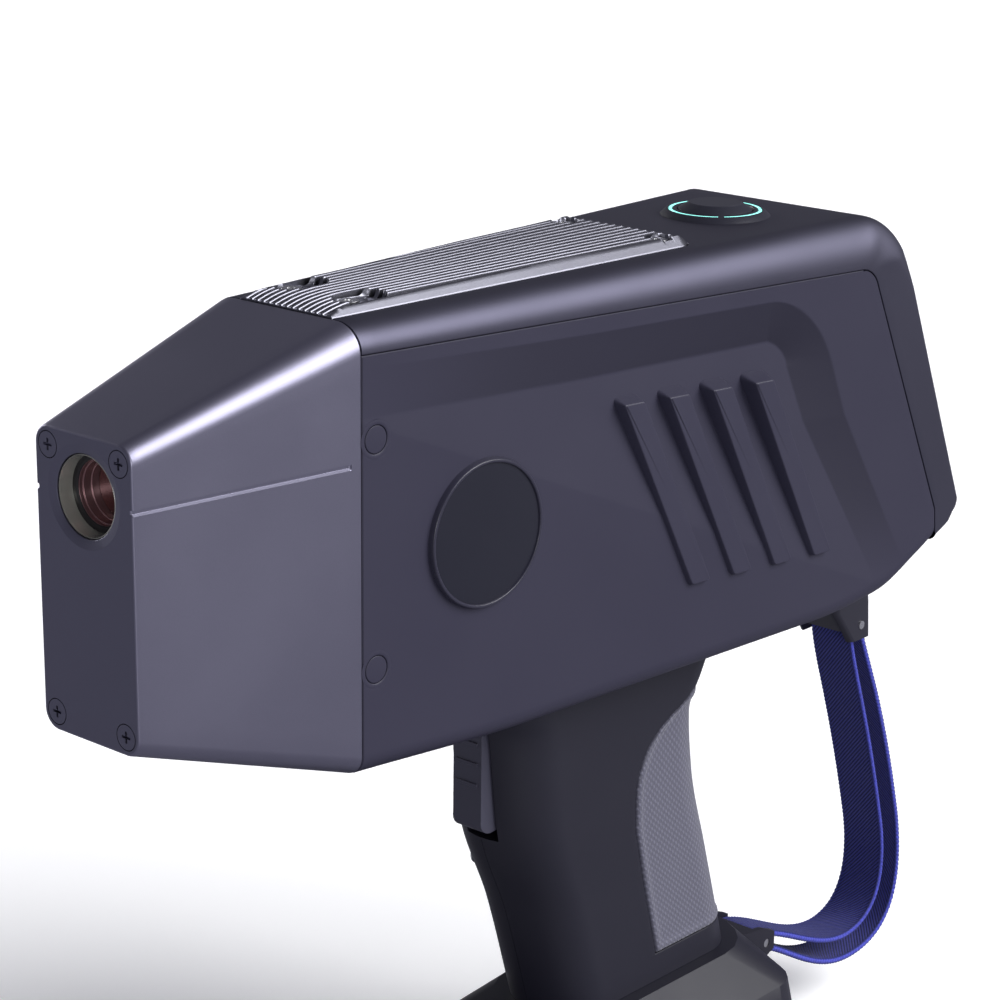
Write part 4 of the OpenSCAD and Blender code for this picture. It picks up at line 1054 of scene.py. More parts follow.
@dataclass
class Cover:
    """Top cover: roof, rear frame round the display opening and the two long shoulders."""
    sink_half: Pair = (14.15, 19.95)
    sink_end: float = 174.3
    opening: Point = (29.0, 30.6, 5.0)
    rear_origin: Pair = (259.585, 192.5)
    rear_turn: Point = (231.57, 225.4, 14.6)
    rear_face: Tuple[Pair, Pair] = ((245.14, 230.79), (273.58, 159.15))
    rear_along: Pair = (0.386, 0.9225)
    rear_inward: Point = (0.0, -0.9295, -0.369)
    seam_len: float = 169.33
    foot_turn: Pair = (269.1, 158.8)
    foot_turn_r: Pair = (4.5, 4.0)
    under: Pair = (271.99, 9.0)
    sink_drop: float = 1.2
    corner_r: float = 4.0
    rim: float = 0.25
    lip: float = 1.6

    def stations(self) -> Tuple[np.ndarray, np.ndarray, np.ndarray]:
        """Matched points of the outline and of the seam, and each station's shoulder depth.

        Returns:
            outline (n, 2), seam (n, 2) and depth (n,). The roof runs evenly, then come a
            14.6 mm round, the raked rear face and its lower turn; the seam follows with a
            corner of its own. The shoulder shrinks from nearly the seam's depth to 2.6 mm.
        """
        turn_y, turn_z, radius = self.rear_turn
        stops = spaced((FORM.front, 0), (170.3, 24), (174.25, 10), (174.32, 1), (turn_y, 12))
        s = (stops - FORM.nose_len) / (turn_y - FORM.nose_len)
        roof = np.stack([stops, np.full_like(s, FORM.top)], 1)
        seam_y = FORM.nose_len + self.seam_len * s
        low_roof = np.stack([seam_y, FORM.seam_top(seam_y)], 1)
        a = np.radians(np.linspace(90, 21.65, 15)[1:])
        b = np.radians(np.linspace(82, 22, 15)[1:])
        turn = np.stack([turn_y + radius * np.cos(a), turn_z + radius * np.sin(a)], 1)
        low_turn = np.stack([FORM.seam_turn[0] + FORM.seam_turn_r[0] * np.cos(b),
                             FORM.seam_turn[1] + FORM.seam_turn_r[1] * np.sin(b)], 1)
        oz = self.opening[1]
        up, down = self.rear_face
        length = math.hypot(down[0] - up[0], down[1] - up[1])
        along_y, along_z = self.rear_along
        middle = (self.rear_origin[0] - up[0]) * along_y + (up[1] - self.rear_origin[1]) * along_z
        edge = spaced((middle - oz, 0), (middle - oz + 0.4, 3), (middle - oz + 5, 8), (middle + oz - 5, 14),
                      (middle + oz - 0.4, 8), (middle + oz, 3))
        t = np.concatenate([np.linspace(0, middle - oz, 5)[1:-1], edge,
                            np.linspace(middle + oz, length, 6)[1:]]) / length
        face = np.stack([up[0] + (down[0] - up[0]) * t, up[1] + (down[1] - up[1]) * t], 1)
        high_knee, low_knee = (np.array(knee) for knee in FORM.seam_knees)
        low_face = high_knee + (low_knee - high_knee) * t[:, None]
        c = np.radians(np.linspace(5, -50, 7)[1:])
        foot = self.foot_turn + self.foot_turn_r * np.stack([np.cos(c), np.sin(c)], 1)
        low_foot = low_knee + np.linspace(0, 1, 7)[1:, None] * [0.35, -3.2]
        q = np.linspace(0, 1, 6)[1:]
        under_y = self.under[0] - self.under[1] * q
        under = np.stack([under_y, FORM.belly(under_y)], 1)
        low_under = low_foot[-1] + q[:, None] * [0.35, -3.6]
        self.first_open = len(roof) + len(turn) + 3
        self.last_open = self.first_open + len(edge) - 1
        self.edge_at = edge - middle
        outline = np.concatenate([roof, turn, face, foot, under])
        seam = np.concatenate([low_roof, low_turn, low_face, low_foot, low_under])
        seam = seam + FORM.gap * np.concatenate([np.tile([0.0, 1.0], (len(roof), 1)), np.stack(
            [np.cos(b), np.sin(b)], 1), np.tile([0.913, 0.408], (len(seam) - len(roof) - len(turn), 1))])
        reach = np.linalg.norm(outline - seam, axis=1)
        share = np.clip((np.arange(len(outline)) - len(roof) - 4) / 14.0, 0, 1)
        depth = np.minimum(reach - 0.3, reach * 0.97 + (2.6 - reach * 0.97) * share * share * (3 - 2 * share))
        return outline, seam, depth

    def shell(self) -> None:
        """Sweeps the cross-section along the stations.

        Across each station the surface runs flat from the middle, turns down a quarter
        ellipse and follows the side to the seam, where a 0.25 mm round leads into an inward
        lip. The ellipse widens from 7.3 mm to the rear and is 5.2 mm narrower by the opening,
        where the flat starts at a rounded-rectangle edge. Under the sink it is 1.2 mm lower.
        """
        outline, seam, depth = self.stations()
        n = len(outline)
        y, z = outline[:, 0:1], outline[:, 1:2]
        to_seam = seam - outline
        reach = np.linalg.norm(to_seam, axis=1, keepdims=True)
        down = to_seam / reach
        turn = np.clip((np.arange(n) - self.first_open + 18) / 15.0, 0, 1)[:, None]
        sx = 7.3 + 1.7 * (y - 57) / 215 - (5.2 * turn)
        a = np.linspace(0, math.pi / 2, 15)[None, :]
        dn = depth[:, None]
        side = np.linspace(0, 1, 5)[None, 1:]
        tail_in = np.array([0.0, 0.02, 0.08, self.rim, self.lip])[None, :]
        tail_at = np.array([self.rim, 0.12, 0.03, 0.0, 0.0])[None, :]
        along = np.concatenate([dn * (1 - np.cos(a)), dn + (reach - self.rim - dn) * side,
                                reach - tail_at[:, 1:]], 1)
        edge_half = FORM.half(y + down[:, 0:1] * along)
        corner = np.concatenate([sx * (1 - np.sin(a)), np.zeros((n, 4)),
                                 np.broadcast_to(tail_in[:, 1:], (n, 4))], 1)
        ox = edge_half - corner
        oy = y + down[:, 0:1] * along
        oz = z + down[:, 1:2] * along
        outer = np.stack([ox, oy, oz], -1)
        narrow, wide = self.sink_half
        rim = narrow + (wide - narrow) * (np.clip(y, FORM.front, None) - 57.3) / 117.0
        r = self.corner_r
        corner_y = np.clip(y - (self.sink_end - r), 0, r)
        rim = np.where(y < self.sink_end, rim - r + np.sqrt(np.clip(r * r - corner_y ** 2, 0, None)), 15.6)
        start = ox[:, 0:1]
        rim = np.minimum(rim, start - 1.5)
        inner_x = np.concatenate([rim * np.array([[0, 0.33, 0.66, 0.99]]), rim, rim + 0.02, rim + 0.15,
                                  rim + (start - rim) * np.array([[0.35, 0.7]])], 1)
        dip = np.where(y < self.sink_end - 0.02, self.sink_drop, 0.0)
        dip = dip * np.array([[1, 1, 1, 1, 1, 0.1, 0, 0, 0]])
        inner = np.stack([inner_x, np.broadcast_to(y, inner_x.shape), z - dip], -1)
        skin = Skin("cover_shell")
        front_in = np.concatenate([inner, outer], 1)
        lead = front_in[0:1].copy()
        fan = np.linspace(0, math.pi / 2, outer.shape[1])
        normal_in = np.zeros_like(lead)
        normal_in[..., 2] = -self.lip
        normal_in[0, 9:, 0] = -self.lip * np.sin(fan)
        normal_in[0, 9:, 2] = -self.lip * np.cos(fan)
        front = np.concatenate([lead + normal_in, lead + normal_in * 0.12,
                                lead + [0, 0.06, 0] + normal_in * 0.03])
        front_in[0] += np.array([0.0, self.rim, 0.0])
        whole = np.concatenate([front, front_in])
        first, last = self.first_open + 3, self.last_open + 3
        roof_part = whole[:first + 1].copy()
        foot_part = whole[last:].copy()
        band = whole[first:last + 1, 9:].copy()
        # the opening's edge, offset outwards by 0.2 mm for its rounding
        w, h, r = self.opening
        d = np.clip(np.abs(self.edge_at) - (h - r), 0, r)[:, None]
        open_x = w - r + np.sqrt(np.clip(r * r - d * d, 0, None))
        inward = np.array(self.rear_inward)
        flat = band[:, 0:1, 0]
        cols = open_x + 0.22 + (flat - open_x - 0.22) * np.array([[0.0, 0.35, 0.7]])
        face_yz = outline[self.first_open:self.last_open + 1]
        face_y, face_z = (np.repeat(face_yz[:, [i]], 3, 1) for i in (0, 1))
        on_face = lambda x: np.stack([x, face_y, face_z], -1)
        ring = on_face(cols)
        lip = on_face(np.concatenate([open_x, open_x, open_x + 0.06], 1))
        lip = lip + inward * np.array([4.0, 0.22, 0.06])[None, :, None]
        band = np.concatenate([lip, ring, band], 1)
        for part in (roof_part, foot_part, band):
            skin.grid(part)
            skin.grid(part * MIRROR)
        x_lip = np.linspace(-(w - r), w - r, 24)
        for row, sign in ((self.first_open, 1.0), (self.last_open, -1.0)):
            base = np.stack([x_lip, np.full(24, outline[row, 0]), np.full(24, outline[row, 1])], -1)
            skin.grid(np.stack([base, base + inward * 0.1, base + inward * 4.0]))
        thing = skin.build(32, away_from=(0, 190, 190))
        fit(thing, Finish.COVER, "cover_dark", MAIN, "top_cover")


@dataclass
class SidePanel:
    """One side shell: flat panel with the sunk field, lower corner, belly and its seams."""
    top_line: Line = ((0, 70.8, 126.8, 170), (230.5, 227.1, 225.2, 223.7))
    rear_line: Line = ((146.7, 191.2, 209.6, 225), (192, 164.5, 156.8, 151.5))
    turn_r: float = 18.0
    low_r: float = 5.0
    band: Pair = (10.9, 13.4)
    rows: int = 176
    cols: int = 400
    rim: float = 0.25
    lip: float = 1.6
    plugs: Tuple[Pair, ...] = ((4.1, 214.5), (4.1, 162.6))
    plug_wall: Pair = (3.35, 3.95)
    plug_deep: float = 0.9

    def sunk(self, u: np.ndarray, v: np.ndarray) -> Tuple[np.ndarray, np.ndarray]:
        """Depth of the sunk field and the mask of its border, which is darkened as painted shade.

        The floor is the plane D = -16.16 + 0.0312 u + 0.0738 v, never proud of the side. Its
        border is a slope from the top and rear lines, rounded at their corner, down to the
        floor; d is the distance inside that border and the slope's share is d over its width.

        Args:
            u: distances back along the side.
            v: heights.

        Returns:
            Depth and the painted-shade mask, each of u's shape.
        """
        above = np.interp(u, *self.top_line) - v
        behind = np.interp(v, *self.rear_line) - u
        p, q = np.clip(self.turn_r - above, 0, None), np.clip(self.turn_r - behind, 0, None)
        far = np.hypot(p, q) + 1e-9
        d = np.where((above > 0) & (behind > 0), self.turn_r - far, np.minimum(above, behind))
        width = self.band[0] + (self.band[1] - self.band[0]) * q / (p + q + 1e-9)
        rest = np.clip(width - d, 0, None)
        plane = lambda a, b: -16.16 + 0.0312 * a + 0.0738 * b
        soft = lambda x, k: 0.5 * (x + np.sqrt(x * x + k * k)) - 0.5 * k * np.exp(-np.abs(x) / k)
        deep = soft(plane(u - rest * q / far, v - rest * p / far), 0.25)
        share = soft(d / width, 0.035) - soft(d / width - 1.0, 0.05)
        # mask of the sloped border, where the side's colour is darkened as painted shade
        border = smooth_step(d, -0.15, 0.3) * (1 - smooth_step(d - width, -0.3, 0.15))
        border = border * smooth_step(deep, 0.0, 1.6)
        return np.clip(deep, 0, None) * np.clip(share, 0, 1.02), border

    def surface(self) -> np.ndarray:
        """The +X shell's grid: rows from the seam down the side, round the corner to the middle.

        For each row the share t fixes the height between the seam and the corner; the row's
        rear end solves y = seam_rear(z(y, t)) by bisection. Rims turn inwards over 0.25 mm.

        Returns:
            (rows, columns, 3) points; the border's painted-shade mask is kept beside them.
        """
        t = np.concatenate([[0, 0], np.linspace(0, 0.07, 30), np.linspace(0.07, 1, self.rows)[1:]])
        low, high = np.full(len(t), 200.0), np.full(len(t), 272.0)
        level = lambda y: FORM.seam_top(y) * (1 - t) + (FORM.belly(y) + self.low_r) * t
        for _ in range(40):
            mid = 0.5 * (low + high)
            inside = mid < FORM.seam_rear(level(mid))
            low, high = np.where(inside, mid, low), np.where(inside, high, mid)
        end = low - FORM.gap
        f = np.concatenate([[0, 0], np.linspace(0, 1, self.cols), [1, 1]])
        rim_f = np.concatenate([[self.lip, self.rim], np.zeros(self.cols), [self.rim, self.lip]])
        in_f = np.concatenate([[0, 0, self.rim], np.zeros(self.cols - 2), [-self.rim, 0, 0]])
        a = np.linspace(0, math.pi / 2, 9)[1:]
        flat = np.linspace(0, 1, 7)[1:]
        n_side, n_arc, n_flat = len(t), len(a), len(flat) + 2
        end_all = np.concatenate([end, np.full(n_arc + n_flat, end[-1])])
        y = FORM.front + (end_all[:, None] - FORM.front) * f[None, :] + in_f[None, :]
        seam = FORM.seam_top(y[:n_side]) - FORM.gap
        belly = FORM.belly(y)
        z_side = seam * (1 - t[:, None]) + (belly[:n_side] + self.low_r) * t[:, None]
        z_side[2] -= self.rim
        half = FORM.half(y)
        u = (y[:n_side] - FORM.nose_len) / math.cos(FORM.slope)
        depth, self.border = self.sunk(u, z_side)
        for pu, pv in self.plugs:
            away = np.hypot(u - pu, z_side - pv)
            depth = depth + self.plug_deep * (1 - smooth_step(away, *self.plug_wall))
        rim_t = np.concatenate([[self.lip, self.rim], np.zeros(n_side - 2)])
        inner = np.maximum(rim_t[:, None], rim_f[None, :])
        w = -(depth + inner)
        x_side = half[:n_side] + w * math.cos(FORM.slope)
        y_side = y[:n_side] - w * math.sin(FORM.slope)
        ca, sa = np.cos(a)[:, None], np.sin(a)[:, None]
        arc = slice(n_side, n_side + n_arc)
        rad = self.low_r - rim_f[None, :]
        x_arc, z_arc = half[arc] - self.low_r + rad * ca, belly[arc] + self.low_r - rad * sa
        base = slice(n_side + n_arc, None)
        run = np.concatenate([flat, [1.0, 1.0]])[:, None]
        x_flat = (half[base] - self.low_r) * (1 - run) + FORM.gap * run
        x_flat[-3] += self.rim
        lift = np.concatenate([np.zeros(len(flat)), [self.rim, self.lip]])[:, None]
        z_flat = belly[base] + np.maximum(lift, rim_f[None, :])
        parts = (x_side, x_arc, x_flat), (y_side, y[n_side:]), (z_side, z_arc, z_flat)
        return np.stack([np.concatenate(part) for part in parts], -1)

    def build(self, name: str, node: str, flip: bool) -> None:
        """Builds one shell.

        Args:
            name: the piece's name.
            node: the frame node it replaces.
            flip: mirrors it to the -X side.
        """
        points = self.surface() * (MIRROR if flip else 1.0)
        # the surface's u carries the border's painted-shade mask for the side's finish
        mask = np.zeros(points.shape[:2] + (2,))
        mask[:len(self.border), :, 0] = self.border
        thing = Skin(name).grid(points, uv=mask).build(40, away_from=(0, 160, 190))
        fit(thing, Finish.SIDE, "side_soft", MAIN, node)


@dataclass
class SideTrim:
    """What stands on each side shell: four slanted ribs, the round badge and the two plugs."""
    rib_start: Pair = (80.8, 208.6)
    rib_step: Pair = (15.6, -0.9)
    rib_count: int = 4
    lean: float = 25.65
    badge: Pair = (36.8, 186.9)
    badge_r: float = 17.4

    def ribs(self, side: Axes, tag: str) -> None:
        """Four ribs, each a slanted bar whose rounded foot outline turns into a smaller top.

        Level k mixes the foot and the top outline by its share of the height; the last
        levels shrink the top along a quarter round for the edge.

        Args:
            side: the side's frame.
            tag: end of the piece's name.
        """
        k = self.lean
        foot = np.array([(-2.5, 2.3), (7.9, 1.9), (8.0 + k, -50.6), (k - 1.1, -50.9)])
        top = np.array([(0.0, 0.0), (6.9, -0.25), (6.85 + k, -49.7), (k + 0.15, -49.5)])
        skin = Skin("ribs_" + tag)
        outer = rounded_outline(foot[::-1], [1.6, 1.8, 1.9, 3.2], 8)
        inner = rounded_outline(top[::-1], [1.0, 1.3, 0.7, 0.6], 8)
        rows = [(0.0, 0.0, -4.0), (0.5, 0.0, -1.4), (0.93, 0.0, 0.836), (0.965, 0.02, 1.0),
                (0.985, 0.06, 1.11), (1.0, 0.16, 1.18), (1.0, 0.3, 1.2), (1.0, 0.5, 1.2)]
        for i in range(self.rib_count):
            shift = np.array(self.rib_start) + i * np.array(self.rib_step)
            rings = [np.column_stack([shrink(outer * (1 - m) + inner * m, r) + shift, np.full(len(outer), h)])
                     for m, r, h in rows]
            ends = [np.broadcast_to(q.mean(0), q.shape) for q in (rings[0], rings[-1])]
            skin.grid(side.place(np.stack([ends[0], *rings, ends[1]])), close_cols=True)
        thing = skin.build(34)
        fit(thing, Finish.RIB, "side_soft")

    def badges(self, sides: Dict[str, Axes]) -> None:
        """Turns the bare badges: a raised rim with two soft edges, and a slightly domed face.

        Args:
            sides: each side's frame by name.
        """
        rim, face = Skin("badge_rings"), Skin("badge_discs")
        r = self.badge_r
        rows = [(r - 1.15, 0.6), (r - 1.12, 1.12), (r - 1.05, 1.3), (r - 0.9, 1.4), (r - 0.6, 1.42),
                (r - 0.42, 1.36), (r - 0.3, 1.2), (r - 0.12, 0.5), (r, 0.06), (r + 0.02, 0.02),
                (r - 0.3, -0.3), (r - 1.15, 0.6)]
        t = np.linspace(0, 1, 18)
        dome = np.column_stack([(r - 1.16) * t, 1.08 - 0.16 * t ** 4])
        dome = np.concatenate([dome, [(r - 1.16, 0.6), (0.0, 0.6)]])
        for axes in sides.values():
            here = axes.shifted(*self.badge)
            rim.turned(np.array(rows), here, 144)
            face.turned(dome, here, 144)
        fit(rim.build(40), Finish.BADGE_RIM, "side_soft", MAIN, "badge_rims")
        fit(face.build(40), Finish.BADGE, "badge_gloss", MAIN, "badge_faces")

    def plugs(self, sides: Dict[str, Axes]) -> None:
        """Turns the screw plugs: a flush disc inside a narrow ring groove and a feathered rim.

        Args:
            sides: each side's frame by name.
        """
        skin = Skin("screw_plugs")
        rows = np.array([(0.0, 0.0), (2.6, 0.0), (2.95, -0.03), (3.06, -0.12), (3.08, -0.5), (3.24, -0.5),
                         (3.26, -0.1), (3.36, -0.01), (3.5, 0.03), (4.1, 0.03), (4.35, 0.0), (4.3, -0.12),
                         (3.3, -0.8), (0.0, -0.8)])
        for axes in sides.values():
            for place in SidePanel().plugs:
                skin.turned(rows, axes.shifted(*place), 72)
        fit(skin.build(30), Finish.SIDE, "side_soft", MAIN, "side_plugs")

    def build(self) -> None:
        """Builds the trim of both sides."""
        right = FORM.side()
        sides = {"plus": right, "minus": right.mirrored()}
        for tag, axes in sides.items():
            self.ribs(axes, tag)
        self.badges(sides)
        self.plugs(sides)


# ---- heat sink and button

@dataclass
class HeatSink:
    """Finned heat sink let into the roof, with pockets for its four screws."""
    start: float = 57.35
    length: float = 116.6
    half: Pair = (13.85, 19.65)
    pitch: Pair = (27.7 / 15.4, 0.97 * 39.3 / 15.4)
    gaps: int = 14
    gap_half: Pair = (0.5, 0.72)
    ridge: float = 242.4
    fall: float = 0.42
    floor: float = 240.25
    rail_foot: float = 240.1
    rail_deg: float = 48.0
    skirt: float = 238.6
    corner_r: float = 4.0
    pockets: Tuple[Tuple[float, float, float, float], ...] = ((8.8, 70.9, 3.6, 3.1), (14.6, 166.5, 3.0, 0.0))

    def crown(self, y: np.ndarray, x: np.ndarray, half: np.ndarray) -> np.ndarray:
        """Height of the ridges' crowns: front slope, rear slope and the slanted side rails.

        Args:
            y: how far back.
            x: distance from the middle.
            half: half the sink's width there.

        Returns:
            The height at each point.
        """
        levels = 240.35, 240.62, 241.55, 242.12, self.ridge, self.ridge
        front = fair_curve(y, (56, 57.35, 61, 65, 70, 80), levels)
        rear = self.ridge - 2.1 * np.clip((y - 170.5) / 4.0, 0, 1)
        return np.minimum(np.minimum(front, rear), self.rail(half - np.abs(x)))

    def rail(self, inside: np.ndarray) -> np.ndarray:
        """Height of the side rail at a distance inside its foot."""
        return self.rail_foot + inside * math.tan(math.radians(self.rail_deg))

    def build(self) -> None:
        """Builds the finned top as one height field whose columns follow the ridges.

        Gap i has its middle at (i - 6.5) pitch(y); a ridge's crown falls by 0.42 mm on a round
        towards each gap, then straight down to the floor. Screw pockets are cut with a steep
        smooth wall at their distance from a short line.
        """
        y = spaced((self.start, 0), (57.8, 3), (60, 8), (63, 8), (78, 60), (80, 4), (160, 24), (163, 4),
                   (170.2, 29), (self.start + self.length, 18))
        s = ((y - 57.3) / 117.0)[:, None]
        half = self.half[0] + (self.half[1] - self.half[0]) * s
        turn = np.clip(y[:, None] - 170.0, 0, 3.98)
        rim = half - self.corner_r + np.sqrt(self.corner_r ** 2 - turn ** 2)
        pitch = self.pitch[0] + (self.pitch[1] - self.pitch[0]) * s
        gap = self.gap_half[0] + (self.gap_half[1] - self.gap_half[0]) * s
        shape = np.array([[-1.0, -0.97, -0.5, 0.0, 0.5, 0.97, 1.0]])
        across = np.array([[0.05, 0.13, 0.24, 0.37, 0.5, 0.63, 0.76, 0.87, 0.95]])
        fall = self.fall * (1 - np.sqrt(1 - np.abs(2 * across[0] - 1) ** 2.2))
        crown_parts, kinds = [], []
        for i in range(self.gaps):
            centre = (i - (self.gaps - 1) / 2) * pitch
            crown_parts.append(centre + gap * shape)
            kinds.append(np.array([self.fall, 9, 9, 9, 9, 9, self.fall]))
            if i < self.gaps - 1:
                crown_parts.append(centre + gap + (pitch - 2 * gap) * across)
                kinds.append(fall)
        mid = np.concatenate(crown_parts, 1)
        edge = np.array([0.05, 0.14, 0.3, 0.5, 0.75, 0.9, 0.97, 1.0])[None, :]
        right = mid[:, -1:] + (rim - mid[:, -1:]) * edge
        outer_kind = self.fall * np.clip(1 - edge[0] / 0.3, 0, 1) ** 2
        x = np.concatenate([-right[:, ::-1], mid, right], 1)
        kind = np.concatenate([outer_kind[::-1], *kinds, outer_kind])[None, :]
        yy = np.broadcast_to(y[:, None], x.shape)
        top = self.crown(yy, x, half)
        top = np.minimum(top, self.rail(np.clip(rim - np.abs(x), 0, None)))
        z = np.maximum(np.where(kind > 5, self.floor, top - kind), np.minimum(self.floor, top))
        for px, py, pr, run in self.pockets:
            along = np.clip(yy - (py - run), 0, 2 * run) + (py - run)
            away = np.hypot(np.abs(x) - px, yy - along)
            cut = smooth_step(away, pr - 0.1, pr + 0.3)
            bowl = 240.14 + 0.8 * np.clip((away - 0.6 * pr) / (0.4 * pr), 0, 1) ** 2
            z = z * cut + np.minimum(np.maximum(z, 240.3), bowl) * (1 - cut)
        grid = np.pad(np.stack([x, yy, z], -1), ((1, 1), (1, 1), (0, 0)), mode="edge")
        grid[[0, -1], :, 2] = self.skirt
        grid[:, [0, -1], 2] = self.skirt
        thing = Skin("finned_sink").grid(grid).build(46, away_from=(0, 115, 200))
        fit(thing, Finish.SINK, "sink_aluminium", MAIN, "heat_sink")
        fit(eased_copy("sink_screws", "sink_screw_heads", 0.12, 2, 35), Finish.STEEL, "screw_steel")


@dataclass
class PowerButton:
    """Round power button: coned surround, ring light in four arcs and a coned cap."""
    centre: Pair = (208.0, 240.0)
    outer: float = 14.0
    cap: float = 9.4

    def build(self) -> None:
        """Turns the surround and cap, and sweeps the light's arcs and the cap's mark.

        The surround is coned outside and grooved for the light, a flat bar with eased edges
        broken at four diagonals. The mark is an open ring with a short bar.
        """
        axes = Axes((0.0, self.centre[0], self.centre[1]))
        o, c = self.outer, self.cap
        ring = [(c + 0.32, 0.35), (c + 0.32, 1.3), (c + 0.42, 1.46), (c + 0.6, 1.52), (o - 3.25, 1.52),
                (o - 3.12, 1.44), (o - 3.1, 1.3), (o - 3.1, 0.95), (o - 2.1, 0.95), (o - 2.1, 1.3),
                (o - 2.08, 1.44), (o - 1.95, 1.52), (o - 1.75, 1.5), (o - 1.5, 1.38), (o - 0.25, 0.22),
                (o - 0.06, 0.06), (o, 0.02), (o - 1, 0.0), (c + 0.32, 0.35)]
        surround = Skin("button_surround").turned(np.array(ring), axes, 144).build(32)
        fit(surround, Finish.BUTTON, "button_black", MAIN, "button_bezel")
        light = Skin("ring_light")
        bar = np.array([(o - 2.96, 0.94), (o - 2.96, 1.36), (o - 2.9, 1.47), (o - 2.8, 1.5), (o - 2.4, 1.5),
                        (o - 2.3, 1.47), (o - 2.24, 1.36), (o - 2.24, 0.94), (o - 2.96, 0.94)])
        for quarter in range(4):
            start = 45.0 + 90.0 * quarter + 4.0
            light.turned(bar, axes, 26, (start, start + 82.0))
            for a in np.radians([start, start + 82.0]):
                flat = np.stack([bar[:, 0] * np.cos(a), bar[:, 0] * np.sin(a), bar[:, 1]], -1)
                light.grid(axes.place(np.stack([flat, np.broadcast_to(flat[:-1].mean(0), flat.shape)])))
        fit(light.build(40), Finish.GLOW, "led_light", MAIN, "led_ring")
        cone = [(0.0, 2.96), (3.0, 3.0), (5.4, 3.14), (6.2, 3.2), (6.6, 3.18), (6.9, 3.02),
                (c - 0.3, 1.72), (c - 0.08, 1.55), (c - 0.02, 1.35), (c - 0.02, 1.2), (0.0, 1.2)]
        fit(Skin("button_cap").turned(np.array(cone), axes, 144).build(28), Finish.BUTTON, "button_black",
            "power_button")
        mark = Skin("button_mark")
        a = np.radians(np.linspace(122, 418, 49))
        lines = (2.55, 2.99), (2.6, 3.02), (3.1, 3.03), (3.15, 3.0)
        mark.grid(axes.place(np.stack([np.stack([r * np.cos(a), r * np.sin(a), np.full(49, h)], -1)
                                       for r, h in lines])))
        bx, by = np.meshgrid(np.linspace(-0.27, 0.27, 4), np.linspace(0.7, 3.5, 12))
        mark.grid(axes.place(np.stack([bx, by, 3.03 - 0.3 * bx ** 2], -1)))
        fit(mark.build(60, away_from=(0, 208, 200)), Finish.MARK, "button_black", "power_button")


# ---- grip, pad and trigger

@dataclass
class GripForm:
    """Raked grip: for each height a front and a rear ellipse joined by flat flanks."""
    levels: Tuple[float, ...] = (44, 74, 99, 115, 125, 137)
    front: Tuple[float, ...] = (140.5, 131, 121, 118.8, 117.5, 108)
    back: Tuple[float, ...] = (212, 203, 195.6, 194, 199, 206)
    half: Tuple[float, ...] = (14.4, 14.4, 15, 15, 15, 15)
    pad_z: Pair = (52.0, 121.0)
    samples: int = 1400

    def section(self, z: float) -> Tuple[np.ndarray, np.ndarray]:
        """Half a section at height z from the front middle round the +X side to the rear.

        Args:
            z: height.

        Returns:
            (samples, 2) points in x, y and their running length.
        """
        at_z = lambda values: float(fair_curve(np.array([z]), self.levels, values)[0])
        a, b, h = at_z(self.front), at_z(self.back), at_z(self.half)
        g = np.radians(np.linspace(-90, 0, self.samples // 2))
        nose = np.stack([h * np.cos(g), a + h * 0.98 + h * 0.98 * np.sin(g)], 1)
        tail = np.stack([h * np.cos(g[::-1]), b - h * 0.98 - h * 0.98 * np.sin(g[::-1])], 1)
        line = np.concatenate([nose, tail])
        return line, np.concatenate([[0], np.cumsum(np.linalg.norm(np.diff(line, axis=0), axis=1))])

    def pad_edge(self, z: float) -> float:
        """Where the pad starts on the flank, from two joined Bezier curves.

        Args:
            z: height.

        Returns:
            y of the edge.
        """
        line = np.concatenate([bezier((186.5, 121), (175, 116.5), (164.2, 113), (163.8, 98), 60),
                               bezier((164.2, 90), (167, 80), (171, 64), (174.5, 52), 60)])[::-1]
        return float(np.interp(z, line[:, 1], line[:, 0]))

    def patch(self, z: np.ndarray, first: Callable[[float], float], last: Callable[[float], float],
              share: np.ndarray) -> Tuple[np.ndarray, np.ndarray]:
        """Samples the side between two lines of the section.

        Args:
            z: the rows' heights.
            first: gives the running length of the first column for a height.
            last: gives that of the last column.
            share: (columns,) positions between them.

        Returns:
            Points (rows, cols, 3) and outward normals of the same shape.
        """
        points, normals = [], []
        for level in z:
            s = first(level) + (last(level) - first(level)) * share
            points.append(self.at(level, s))
            normals.append(self.normals(level, s))
        return np.stack(points), np.stack(normals)

    def at(self, z: float, s: np.ndarray) -> np.ndarray:
        """Points (n, 3) at running lengths s of the section at z."""
        line, run = self.section(z)
        return np.stack([np.interp(s, run, line[:, 0]), np.interp(s, run, line[:, 1]), np.full(len(s), z)], 1)

    def normals(self, z: float, s: np.ndarray) -> np.ndarray:
        """Outward normals of the section at z.

        Args:
            z: height.
            s: running lengths.

        Returns:
            (n, 3) level unit normals.
        """
        line, run = self.section(z)
        tangent = np.gradient(line, axis=0)
        tx, ty = np.interp(s, run, tangent[:, 0]), np.interp(s, run, tangent[:, 1])
        size = np.hypot(tx, ty) + 1e-12
        return np.stack([ty / size, -tx / size, 0 * s], 1)

    def at_y(self, z: float, y: float) -> float:
        """Running length at which the section at z reaches y."""
        line, run = self.section(z)
        return float(np.interp(y, line[:, 1], run))

    def at_x(self, z: float, x: float) -> float:
        """Running length at which the front of the section reaches x.

        Args:
            z: height.
            x: distance from the middle.

        Returns:
            The running length.
        """
        line, run = self.section(z)
        near_front = slice(600)
        return float(np.interp(x, line[near_front, 0], run[near_front]))

    def total(self, z: float) -> float:
        """Length of the half section at z."""
        return float(self.section(z)[1][-1])


